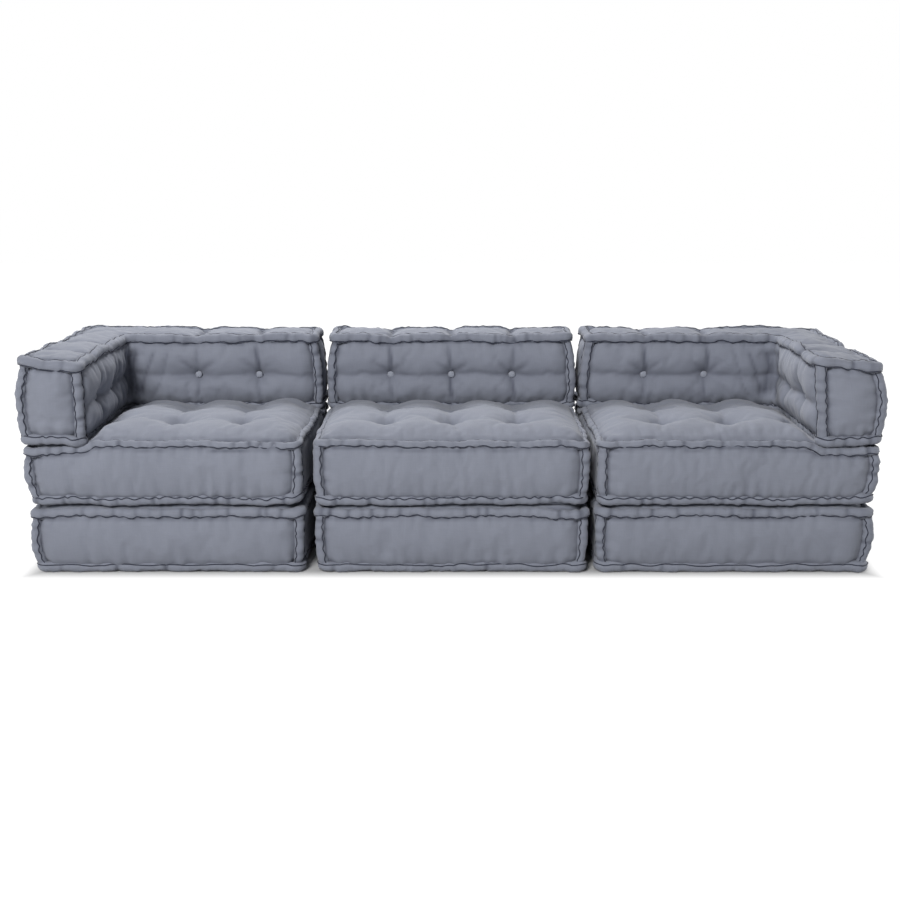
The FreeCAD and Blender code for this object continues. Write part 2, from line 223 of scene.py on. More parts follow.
@dataclass(frozen=True)
class Ripple:
    """Seeded smooth noise: a sum of plane waves near one wavelength, in random directions."""

    seed: int
    wavelength: float
    waves: int = 20

    def at(self, points: Array) -> Array:
        """Evaluates the noise.

        Args:
            points: Places, one row each.

        Returns:
            One value per place, with a standard deviation near 1.
        """
        rng = np.random.default_rng(self.seed)
        ways = rng.normal(size=(self.waves, points.shape[1]))
        ways /= np.linalg.norm(ways, axis=1, keepdims=True)
        numbers = 2 * np.pi / self.wavelength * rng.uniform(0.7, 1.5, self.waves)
        phases = rng.uniform(0, 2 * np.pi, self.waves)
        return np.cos(points @ (ways * numbers[:, None]).T + phases).sum(1) * math.sqrt(2 / self.waves)


def ripples(seed: int, terms: tuple[tuple[float, float, int], ...], points: Array) -> Array:
    """Sum of ripples, each given by its depth, wavelength and number of waves."""
    parts = [Ripple(seed + n, length, waves).at(points) * depth for n, (depth, length, waves) in enumerate(terms)]
    return sum(parts)


def smooth_step(x: Array) -> Array:
    """Cubic ramp from 0 to 1 over the unit interval."""
    t = np.clip(x, 0, 1)
    return t * t * (3 - 2 * t)


def parabola_ramp(x: Array) -> Array:
    """Ramp from 0 to 1 over the unit interval, steep at first and level at its end."""
    return 1 - (1 - np.clip(x, 0, 1)) ** 2


def bell(x: Array, width: float) -> Array:
    """Bell curve of height 1."""
    return np.exp(-0.5 * (x / width) ** 2)


@dataclass(frozen=True)
class Surface:
    """A mesh as arrays: places, faces as rows of four places, and a flat cloth place for each face corner."""

    verts: Array
    quads: Array
    cloth: Array

    def normals(self) -> Array:
        """Outward direction at each place: the mean of its faces' cross products of diagonals."""
        p = self.verts[self.quads]
        across = np.cross(p[:, 2] - p[:, 0], p[:, 3] - p[:, 1])
        total = np.zeros_like(self.verts)
        for corner in range(4):
            np.add.at(total, self.quads[:, corner], across)
        return total / np.maximum(np.linalg.norm(total, axis=1, keepdims=True), 1e-12)

    @staticmethod
    def joined(parts: list[Surface]) -> Surface:
        """Several surfaces as one, each still a shell of its own."""
        starts = np.cumsum([0] + [len(p.verts) for p in parts[:-1]])
        return Surface(
            np.concatenate([p.verts for p in parts]),
            np.concatenate([p.quads + start for p, start in zip(parts, starts)]),
            np.concatenate([p.cloth for p in parts]),
        )


def grid_quads(count: int) -> Array:
    """Faces of a square grid of places, count on each side, numbered row by row."""
    number = np.arange(count * count).reshape(count, count)
    return np.stack([number[:-1, :-1], number[1:, :-1], number[1:, 1:], number[:-1, 1:]], -1).reshape(-1, 4)


def link(thing: bpy.types.Object) -> bpy.types.Object:
    """Puts an object into the scene."""
    bpy.context.scene.collection.objects.link(thing)
    return thing


def place_mesh(name: str, surface: Surface, crease: Array | None = None) -> bpy.types.Object:
    """Makes a smooth-shaded object of a surface.

    Args:
        name: The piece's name.
        surface: Its mesh.
        crease: Painted shade at each place, from 0 to 1: how far the colour darkens in folds, seams and pinches.

    Returns:
        The object, linked into the scene, at the origin.
    """
    mesh = bpy.data.meshes.new(name)
    mesh.from_pydata(surface.verts.tolist(), [], surface.quads.tolist())
    mesh.polygons.foreach_set("use_smooth", np.ones(len(mesh.polygons), bool))
    layer = mesh.uv_layers.new(name="cloth")
    layer.data.foreach_set("uv", surface.cloth.astype(np.float32).ravel())
    # The painted shade is kept as a point attribute that the canvas finish reads.
    fold = mesh.attributes.new("crease", "FLOAT", "POINT")
    values = np.zeros(len(surface.verts)) if crease is None else crease
    fold.data.foreach_set("value", values.astype(np.float32))
    mesh.update()
    return link(bpy.data.objects.new(name, mesh))


@dataclass(frozen=True)
class Plan:
    """Outline of a cushion from above: a rectangle, or an L with an arm at one end.

    The outline runs counter-clockwise. A corner that turns in is the inner corner of the L.
    """

    x: tuple[float, float]
    y: tuple[float, float]
    arm: Side = Side.MIDDLE
    thickness: float = 0.0

    @property
    def x_arm(self) -> float:
        """The arm's inner face."""
        return self.x[0] + self.thickness if self.arm is Side.LEFT else self.x[1] - self.thickness

    @property
    def y_back(self) -> float:
        """The back's front face, beside an arm."""
        return self.y[1] - self.thickness

    def corners(self) -> tuple[Array, Array]:
        """The outline's corners and whether each turns in."""
        (x0, x1), (y0, y1) = self.x, self.y
        if self.arm is Side.MIDDLE:
            return np.array([(x0, y0), (x1, y0), (x1, y1), (x0, y1)]), np.zeros(4, bool)
        if self.arm is Side.LEFT:
            points = [(x0, y0), (self.x_arm, y0), (self.x_arm, self.y_back), (x1, self.y_back), (x1, y1), (x0, y1)]
            return np.array(points), np.arange(6) == 2
        points = [(x0, self.y_back), (self.x_arm, self.y_back), (self.x_arm, y0), (x1, y0), (x1, y1), (x0, y1)]
        return np.array(points), np.arange(6) == 1

    def turns(self) -> tuple[Array, Array]:
        """Unit runs leaving and reaching each corner."""
        corners, _ = self.corners()
        ahead = np.roll(corners, -1, 0) - corners
        run = ahead / np.linalg.norm(ahead, axis=1, keepdims=True)
        return run, np.roll(run, 1, 0)

    def boxes(self) -> list[tuple[tuple[float, float], tuple[float, float]]]:
        """The rectangles that make up the plan."""
        if self.arm is Side.MIDDLE:
            return [(self.x, self.y)]
        arm = (self.x[0], self.x_arm) if self.arm is Side.LEFT else (self.x_arm, self.x[1])
        return [(self.x, (self.y_back, self.y[1])), (arm, self.y)]

    def stops(self) -> tuple[Array, Array, Array, Array]:
        """The straight lines of the outline across x and y, and the way an inset moves each."""
        if self.arm is Side.MIDDLE:
            return np.array(self.x), np.array(self.y), np.array([1, -1]), np.array([1, -1])
        xs = np.array([self.x[0], self.x_arm, self.x[1]])
        ys = np.array([self.y[0], self.y_back, self.y[1]])
        return xs, ys, np.array([1, self.arm.value, -1]), np.array([1, 1, -1])

    def rounded_path(self, inset: float, bend: float, inner_bend: float, step: float) -> tuple[Array, Array]:
        """Even points along the outline, drawn in, with its corners as arcs.

        Args:
            inset: How far the path lies inside the outline.
            bend: Radius at the corners that turn out.
            inner_bend: Radius at a corner that turns in.
            step: Spacing of the points.

        Returns:
            The points and, for each corner, the distance along the path to the middle of its arc.
        """
        corners, turned = self.corners()
        run, before = self.turns()
        into = (run - before) * np.where(turned, -1, 1)[:, None]
        radius = np.where(turned, inner_bend, bend)[:, None]
        drawn = corners + inset * into
        centre = drawn + radius * (run - before)
        angle = np.linspace(0, np.pi / 2, ARC_POINTS)[None, :, None]
        spoke = np.sin(angle) * before[:, None] - np.cos(angle) * run[:, None]
        line = (centre[:, None] + radius[:, None] * spoke).reshape(-1, 2)
        line = np.vstack([line, line[:1]])
        along = np.concatenate([[0], np.cumsum(np.linalg.norm(np.diff(line, axis=0), axis=1))])
        count = int(round(along[-1] / step))
        even = np.arange(count) * along[-1] / count
        points = np.column_stack([np.interp(even, along, line[:, 0]), np.interp(even, along, line[:, 1])])
        return points, along[np.arange(len(corners)) * ARC_POINTS + ARC_POINTS // 2]


@dataclass
class RollPath:
    """The line that a stitched roll follows, with its stitches.

    Attributes:
        points: Places along the line.
        outward: The direction out of the cushion at each place, square to the line.
        closed: Whether the line runs round the whole cushion.
        seed: Start of its random draws.
        stitch: Mean distance from stitch to stitch.
        ears: Distance along the line to each corner, where the roll is bunched up.
        dips: Distance along the line to each place that a tuft's fold pulls down.
        thin: Share by which the roll is thinner than usual.
    """

    points: Array
    outward: Array
    closed: bool
    seed: int
    stitch: float = 0.030
    ears: Array = field(default_factory=lambda: np.zeros(0))
    dips: Array = field(default_factory=lambda: np.zeros(0))
    thin: Array | float = 0.0

    def __post_init__(self) -> None:
        """Works out distances, directions and the depth of the stitches along the line."""
        ends = np.roll(self.points, -1, 0) if self.closed else self.points[1:]
        steps = np.linalg.norm(ends - self.points[: len(ends)], axis=1)
        reach = np.concatenate([[0], np.cumsum(steps)])
        self.length = reach[-1]
        self.along = reach[: len(self.points)]
        if self.closed:
            tangent = np.roll(self.points, -1, 0) - np.roll(self.points, 1, 0)
        else:
            tangent = np.gradient(self.points, axis=0)
        self.tangent = tangent / np.linalg.norm(tangent, axis=1, keepdims=True)
        self.side = np.cross(self.outward, self.tangent)
        rng = np.random.default_rng(self.seed)
        count = max(3, int(round(self.length / self.stitch)))
        self.holes = (np.arange(count) + 0.5 + rng.uniform(-0.28, 0.28, count)) * self.length / count
        self.pulls = rng.uniform(0.35, 1.0, count) ** 3
        self.pinch = np.clip((self.bumps(self.holes, 0.0042) * self.pulls).sum(1), 0, 1)
        turns = np.interp(self.along, self.holes, np.arange(count) * 2 * np.pi)
        self.wave = np.sin(turns + 0.6 * np.sin(self.along / 0.11))
        self.ear = self.bumps(self.ears, 0.016).sum(1)
        self.sag = self.bumps(self.dips, 0.011).sum(1)
        self.full = 1 - np.broadcast_to(self.thin, len(self.points))

    def bumps(self, centres: Array, width: float) -> Array:
        """A bell curve round each centre, along the line: one column per centre."""
        apart = np.abs(self.along[:, None] - centres[None, :])
        if self.closed:
            apart = np.minimum(apart, self.length - apart)
        return bell(apart, width)

    def nearest(self, places: Array, batch: int = 4000) -> tuple[Array, Array]:
        """For each place, the nearest point of the line and how far off it is, worked out a batch at a time."""
        index = np.zeros(len(places), int)
        far = np.zeros(len(places))
        for start in range(0, len(places), batch):
            part = places[start : start + batch]
            square = (part**2).sum(1)[:, None] - 2 * part @ self.points.T + (self.points**2).sum(1)[None, :]
            index[start : start + batch] = square.argmin(1)
            far[start : start + batch] = np.sqrt(np.maximum(square.min(1), 0))
        return index, far

    def tube(self, radius: Array) -> Surface:
        """A skin round the line: centre + radius * (cos a * outward + sin a * side) at angle a.

        Args:
            radius: One row per point of the line, one column per angle.

        Returns:
            A closed surface.
        """
        rows, columns = radius.shape
        angle = (np.arange(columns) * 2 * np.pi / columns)[None, :, None]
        spokes = np.cos(angle) * self.outward[:, None] + np.sin(angle) * self.side[:, None]
        verts = (self.points[:, None] + radius[:, :, None] * spokes).reshape(-1, 3)
        spans = rows if self.closed else rows - 1
        m, k = np.meshgrid(np.arange(spans), np.arange(columns), indexing="ij")
        after, turn = (m + 1) % rows, (k + 1) % columns
        quads = np.stack([m * columns + k, after * columns + k, after * columns + turn, m * columns + turn], -1)
        ends = np.append(self.along, self.length)
        girth = 2 * np.pi * float(radius.mean()) / columns
        u = np.stack([ends[m], ends[m + 1], ends[m + 1], ends[m]], -1)
        v = np.stack([k, k, k + 1, k + 1], -1) * girth
        quads = quads.reshape(-1, 4)
        cloth = np.stack([u, v], -1).reshape(-1, 4, 2)
        if not self.closed:
            near = np.arange(columns // 2 - 1)
            first = np.stack([near, near + 1, columns - near - 2, columns - near - 1], -1)
            quads = np.concatenate([quads, first, first[:, ::-1] + (rows - 1) * columns])
            cloth = np.concatenate([cloth, np.zeros((2 * len(first), 4, 2))])
        return Surface(verts, quads, cloth)


@dataclass(frozen=True)
class Fold:
    """A fold that runs from a tuft: its direction, how far it goes, how deep and wide it is, and how dark a line of
    painted shade runs along its bottom.
    """

    way: Place
    length: float
    depth: float
    width: float
    # Strength of the painted shade line along the fold's bottom.
    sharp: float = 0.0


@dataclass(frozen=True)
class Tuft:
    """One button's pull on the cover.

    Attributes:
        spot: The tuft on the full face, before it is pulled in.
        out: Outward direction of the face.
        depth: How far the cover is pulled in.
        folds: The folds that run from it.
        seed: Start of the random draws for its folds.
    """

    spot: Place
    out: Place
    depth: float
    folds: tuple[Fold, ...]
    seed: int

    def pull(self, verts: Array, normals: Array) -> tuple[Array, Array, Array]:
        """Depth of the tuft and of its folds at each place of the cover, and the painted shade along the folds'
        bottoms.

        The tuft is depth * (0.5 * bell + 0.5 * exp) of the distance in the face. A fold is depth * exp(-|b| / width)
        at the distance b from its wandering line, fading to its end.

        Args:
            verts: Places of the cover.
            normals: Outward directions there.

        Returns:
            The tuft's depth and the folds' depth, inward, and the creases from 0 to 1.
        """
        out = np.array(self.out)
        apart = verts - np.array(self.spot)
        axial = apart @ out
        flat = apart - axial[:, None] * out
        far = np.linalg.norm(flat, axis=1)
        here = smooth_step((normals @ out - 0.25) / 0.5) * (np.abs(axial) < 0.07)
        dimple = self.depth * (0.5 * bell(far, 0.017) + 0.5 * np.exp(-far / 0.024))
        rng = np.random.default_rng(self.seed)
        folded = np.zeros(len(verts))
        lines = np.zeros(len(verts))
        for fold in self.folds:
            way = np.array(fold.way)
            way = way / np.linalg.norm(way)
            along = flat @ way
            phase = rng.uniform(0, 2 * np.pi)
            bend = 0.003 * np.sin(along / 0.022 + phase) + rng.uniform(-0.07, 0.07) * along
            off = flat @ np.cross(out, way) - bend
            fade = smooth_step((fold.length - along) / (0.6 * fold.length)) * smooth_step((along + 0.004) / 0.012)
            width = fold.width * (0.7 + 0.8 * np.clip(along / fold.length, 0, 1))
            folded += fold.depth * fade * (np.exp(-np.abs(off) / width) - 0.25 * bell(off, 2.5 * fold.width))
            # Painted shade: a dark line, about 4 mm wide, along the bottom of each fold.
            lines = np.maximum(lines, fold.sharp * fade * bell(off, 0.0042))
        return dimple * here, folded * here, lines * here


@dataclass
class CushionForm:
    """A stuffed cushion: a lattice of cells over its plan on top and below, and a strip of cells round its sides.

    The sides' inset is edge_draw * |2t - 1| ** barrel at the share t of the height, so they swell between their
    edges.
    """

    plan: Plan
    low: float
    high: float
    sizes: SofaSizes
    cell: float

    def lattice(self) -> tuple[Array, Array, Array, Array]:
        """Lattice lines across x and y, which cells are filled, and the outline as lattice steps."""
        lines = []
        for stops in self.plan.stops()[:2]:
            counts = np.maximum(1, np.round(np.diff(stops) / self.cell).astype(int))
            runs = [np.linspace(a, b, n, endpoint=False) for a, b, n in zip(stops, stops[1:], counts)]
            lines.append(np.append(np.concatenate(runs), stops[-1]))
        lines_x, lines_y = lines
        middle_x = (lines_x[1:] + lines_x[:-1]) / 2
        middle_y = (lines_y[1:] + lines_y[:-1]) / 2
        filled = np.zeros((len(middle_x), len(middle_y)), bool)
        for (x0, x1), (y0, y1) in self.plan.boxes():
            filled |= ((middle_x > x0) & (middle_x < x1))[:, None] & ((middle_y > y0) & (middle_y < y1))[None, :]
        corners, _ = self.plan.corners()
        column = np.abs(lines_x[None, :] - corners[:, :1]).argmin(1)
        row = np.abs(lines_y[None, :] - corners[:, 1:]).argmin(1)
        steps = []
        for i, j, k, l in zip(column, row, np.roll(column, -1), np.roll(row, -1)):
            count = max(abs(k - i), abs(l - j))
            steps.append(np.column_stack([np.linspace(i, k, count + 1), np.linspace(j, l, count + 1)])[:-1])
        return lines_x, lines_y, filled, np.round(np.concatenate(steps)).astype(int)

    def drawn_in(self, flat: Array, inset: Array) -> Array:
        """Moves plan places to the outline at an inset, with round corners.

        The straight lines move in by the inset. In the square at each outer corner the place q, measured from the
        corner arc's centre in radii, becomes q * max(q) / |q|, so that the square's rim becomes the arc. The inner
        corner is filled out along its diagonal.
        """
        xs, ys, ways_x, ways_y = self.plan.stops()
        moved = flat.copy()
        for axis, (stops, ways) in enumerate(((xs, ways_x), (ys, ways_y))):
            moved[:, axis] += np.interp(flat[:, axis], stops, ways) * inset
        corners, turned = self.plan.corners()
        run, before = self.plan.turns()
        for corner, way, inner in zip(corners, run - before, turned):
            if inner:
                tip = corner - way * inset[:, None]
                near = np.exp(-((moved - tip) ** 2).sum(1) / 0.022**2)
                moved = moved + way * (near * 0.007)[:, None]
                continue
            radius = (self.sizes.corner_bend - inset)[:, None]
            tip = corner + way * inset[:, None]
            q = 1 - ((moved - tip) * way) / radius
            inside = (q > 0).all(1)
            q = np.clip(q, 0, None)
            scale = q.max(1) / np.maximum(np.linalg.norm(q, axis=1), 1e-9)
            rounded = tip + way * radius * (1 - q * scale[:, None])
            moved = np.where(inside[:, None], rounded, moved)
        return moved

    def block(self) -> tuple[Surface, Array]:
        """The plain stuffed block.

        Returns:
            Its surface, and 1, -1 or 0 for each place on its top, bottom or sides.
        """
        lines_x, lines_y, filled, loop = self.lattice()
        used = np.zeros((len(lines_x), len(lines_y)), bool)
        for di in (0, 1):
            for dj in (0, 1):
                used[di : di + filled.shape[0], dj : dj + filled.shape[1]] |= filled
        number = np.full(used.shape, -1)
        number[used] = np.arange(used.sum())
        i, j = np.nonzero(used)
        flat = np.column_stack([lines_x[i], lines_y[j]])
        count = len(flat)
        height = self.high - self.low
        levels = max(4, int(round(height / self.cell)))
        rim = np.column_stack([lines_x[loop[:, 0]], lines_y[loop[:, 1]]])
        around = len(rim)
        draw = self.sizes.edge_draw
        edge = self.drawn_in(flat, np.full(count, draw))
        share = np.repeat(np.arange(1, levels) / levels, around)
        strip = self.drawn_in(np.tile(rim, (levels - 1, 1)), draw * np.abs(2 * share - 1) ** self.sizes.barrel)
        floor = np.column_stack([edge, np.full(count, self.low)])
        roof = np.column_stack([edge, np.full(count, self.high)])
        verts = np.vstack([floor, roof, np.column_stack([strip, self.low + share * height])])
        a, b = np.nonzero(filled)
        cap = np.stack([number[a, b], number[a + 1, b], number[a + 1, b + 1], number[a, b + 1]], -1)
        ring = np.empty((levels + 1, around), int)
        ring[0] = number[loop[:, 0], loop[:, 1]]
        ring[-1] = ring[0] + count
        ring[1:-1] = 2 * count + np.arange((levels - 1) * around).reshape(levels - 1, around)
        after = np.roll(ring, -1, 1)
        sides = np.stack([ring[:-1], after[:-1], after[1:], ring[1:]], -1).reshape(-1, 4)
        quads = np.concatenate([cap[:, ::-1], cap + count, sides])
        reach = np.append(0, np.cumsum(np.linalg.norm(np.roll(rim, -1, 0) - rim, axis=1)))
        level = np.arange(levels + 1) / levels * height
        whole = (levels, around, 4)
        u = np.broadcast_to(np.stack([reach[:-1], reach[1:], reach[1:], reach[:-1]], -1)[None], whole)
        v = np.broadcast_to(np.stack([level[:-1], level[:-1], level[1:], level[1:]], -1)[:, None], whole)
        cloth = np.concatenate([flat[cap[:, ::-1]], flat[cap], np.stack([u, v], -1).reshape(-1, 4, 2)])
        facing = np.concatenate([np.full(count, -1), np.full(count, 1), np.zeros(len(strip), int)])
        return Surface(verts, quads, cloth), facing


@dataclass(frozen=True)
class CanvasDrape:
    """Cloth simulation of a stuffed cover: its stuffing blows it up between the places where it is held.

    Attributes:
        pressure: Push of the stuffing.
        slack: Share by which the canvas is larger than the plain form, so that it buckles into folds.
        frames: Steps of time.
        cap: How far a place may move.
    """

    pressure: float = 4.0
    slack: float = 0.012
    frames: int = 12
    cap: float = 0.014

    def settle(self, surface: Surface, held: Array) -> Array:
        """Runs the simulation. A place that moves by d goes cap * tanh(d / cap) of the way.

        Args:
            surface: The cover.
            held: Whether each place stays.

        Returns:
            The places after it.
        """
        piece = place_mesh("drape_trial", surface)
        piece.vertex_groups.new(name="held").add(np.nonzero(held)[0].tolist(), 1.0, "REPLACE")
        cloth = piece.modifiers.new("drape", "CLOTH")
        settings = {
            "vertex_group_mass": "held",
            "quality": 5,
            "mass": 0.3,
            "tension_stiffness": 15,
            "compression_stiffness": 15,
            "shear_stiffness": 5,
            "bending_stiffness": 0.5,
            "use_pressure": True,
            "uniform_pressure_force": self.pressure,
            "shrink_min": -self.slack,
        }
        for name, value in settings.items():
            setattr(cloth.settings, name, value)
        cloth.settings.effector_weights.gravity = 0
        cloth.collision_settings.use_collision = False
        cloth.point_cache.frame_start = 1
        cloth.point_cache.frame_end = self.frames
        scene = bpy.context.scene
        for frame in range(1, self.frames + 1):
            scene.frame_set(frame)
        grown = piece.evaluated_get(bpy.context.evaluated_depsgraph_get())
        flat = np.empty(3 * len(surface.verts), np.float32)
        grown.data.vertices.foreach_get("co", flat)
        mesh = piece.data
        bpy.data.objects.remove(piece)
        bpy.data.meshes.remove(mesh)
        scene.frame_set(1)
        moved = flat.reshape(-1, 3) - surface.verts
        far = np.maximum(np.linalg.norm(moved, axis=1, keepdims=True), 1e-9)
        return surface.verts + moved / far * self.cap * np.tanh(far / self.cap)


def hex_colour(text: str) -> tuple[float, float, float, float]:
    """Linear colour of an sRGB hex value such as #828692."""
    parts = [int(text[i : i + 2], 16) / 255 for i in (1, 3, 5)]
    linear = [p / 12.92 if p <= 0.04045 else ((p + 0.055) / 1.055) ** 2.4 for p in parts]
    return (*linear, 1.0)


def add_node(tree: bpy.types.NodeTree, kind: str, settings: dict | None = None, **inputs: object) -> bpy.types.Node:
    """Adds a shader node.

    Args:
        tree: The node tree.
        kind: Blender's name for the node.
        settings: Properties of the node.
        inputs: Input sockets by name, with _ for a space, or by number as in i0: a value, or a socket to link.

    Returns:
        The node.
    """
    node = tree.nodes.new(kind)
    for name, value in (settings or {}).items():
        setattr(node, name, value)
    for name, value in inputs.items():
        key: int | str = int(name[1:]) if name[1:].isdigit() else name.replace("_", " ")
        if isinstance(value, bpy.types.NodeSocket):
            tree.links.new(value, node.inputs[key])
        else:
            node.inputs[key].default_value = value
    return node


def math_node(tree: bpy.types.NodeTree, operation: str, *values: object, clamp: bool = False) -> bpy.types.NodeSocket:
    """Adds a math node for values or sockets, and gives its output."""
    inputs = {f"i{number}": value for number, value in enumerate(values)}
    return add_node(tree, "ShaderNodeMath", {"operation": operation, "use_clamp": clamp}, **inputs).outputs[0]


def fresh_tree(owner: bpy.types.Material | bpy.types.World) -> bpy.types.NodeTree:
    """The node tree of a material or world, emptied."""
    owner.use_nodes = True
    owner.node_tree.nodes.clear()
    return owner.node_tree


@dataclass(frozen=True)
class CanvasFinish:
    """Cotton canvas, piece-dyed: a plain weave that is dull all over, paler in random worn clouds, with shade painted
    darker into its folds, seams and pinches.

    Attributes:
        name: The material's name.
        dye: Colour of the cloth.
        worn: Colour where it is rubbed paler.
        fold: Colour of the painted shade deep in seams, folds and pinches.
        thread: Spacing of the weave's threads; real canvas has about 0.6 mm, drawn coarser so that it shows.
        bump: Strength of the weave's relief.
    """

    name: str
    dye: str
    worn: str
    fold: str
    thread: float = 1.7 * MM
    bump: float = 0.25

    def build(self) -> bpy.types.Material:
        """Makes the material: weave and slubs from the cloth map, clouds of dye from the place, and painted shade from
        the mesh's shade attribute.
        """
        material = bpy.data.materials.new(self.name)
        tree = fresh_tree(material)
        cloth = add_node(tree, "ShaderNodeUVMap", {"uv_map": "cloth"}).outputs["UV"]
        place = add_node(tree, "ShaderNodeTexCoord").outputs["Object"]
        # A wave's period is 2 pi / (20 * scale) of its coordinate.
        bands = 2 * math.pi / (20 * self.thread)
        waves = []
        for way in ("X", "Y"):
            settings = {"wave_type": "BANDS", "bands_direction": way, "wave_profile": "SIN"}
            wave = add_node(tree, "ShaderNodeTexWave", settings, Vector=cloth, Scale=bands, Distortion=0.6, Detail=1.0)
            waves.append(wave.outputs["Fac"])
        weave = math_node(tree, "MULTIPLY", *waves)
        slubs = []
        for stretch in ((25.0, 420.0, 1.0), (420.0, 25.0, 1.0)):
            drawn = add_node(tree, "ShaderNodeMapping", Vector=cloth, Scale=stretch).outputs[0]
            noise = add_node(tree, "ShaderNodeTexNoise", Vector=drawn, Scale=1.0, Detail=2.0, Roughness=0.6)
            slubs.append(noise.outputs["Fac"])
        slub = math_node(tree, "ADD", *slubs)
        cloud = add_node(tree, "ShaderNodeTexNoise", Vector=place, Scale=7.0, Detail=4.0, Roughness=0.55).outputs["Fac"]
        grain = math_node(tree, "MULTIPLY_ADD", slub, 0.5, -0.5)
        wear = math_node(tree, "ADD", cloud, grain, clamp=True)
        mix = {"data_type": "RGBA"}
        dyed = add_node(tree, "ShaderNodeMix", mix, i0=wear, i6=hex_colour(self.dye), i7=hex_colour(self.worn))
        # Painted shade: the colour goes toward the fold colour as far as the mesh's shade attribute says, deep in
        # folds, seams and pinches.
        crease = add_node(tree, "ShaderNodeAttribute", {"attribute_name": "crease"}).outputs["Fac"]
        colour = add_node(tree, "ShaderNodeMix", mix, i0=crease, i6=dyed.outputs[2], i7=hex_colour(self.fold))
        relief = math_node(tree, "MULTIPLY_ADD", slub, 0.5, weave)
        bump = add_node(tree, "ShaderNodeBump", Strength=self.bump, Distance=0.4 * MM, Height=relief)
        shader = add_node(
            tree,
            "ShaderNodeBsdfPrincipled",
            Base_Color=colour.outputs[2],
            Roughness=0.92,
            IOR=1.47,
            Specular_IOR_Level=0.25,
            Sheen_Weight=0.15,
            Sheen_Roughness=0.55,
            Normal=bump.outputs[0],
        )
        add_node(tree, "ShaderNodeOutputMaterial", Surface=shader.outputs[0])
        return material


@dataclass(frozen=True)
class Finishes:
    """The materials of the sofa, made once."""

    canvas: bpy.types.Material
    rolled: bpy.types.Material
    button: bpy.types.Material
    thread_and_seam_shade: bpy.types.Material

    @staticmethod
    def made() -> Finishes:
        """Builds every finish."""
        return Finishes(
            # Each finish's last colour is the painted shade for its folds, seams and pinches.
            canvas=CanvasFinish("cotton_canvas", "#7b7f8b", "#888c98", "#393d4c").build(),
            rolled=CanvasFinish("cotton_canvas_rolled", "#787c88", "#888c98", "#343847", bump=0.35).build(),
            button=CanvasFinish("cotton_canvas_button", "#8a8e99", "#979ba6", "#4a4e5c").build(),
            # Seam thread: real stitching, drawn near black and thick, so that it also paints the shade of the groove
            # that it lies in.
            thread_and_seam_shade=CanvasFinish("waxed_cotton_twine", "#2a2d3a", "#363a48", "#1f2230", thread=1.2 * MM).build(),
        )


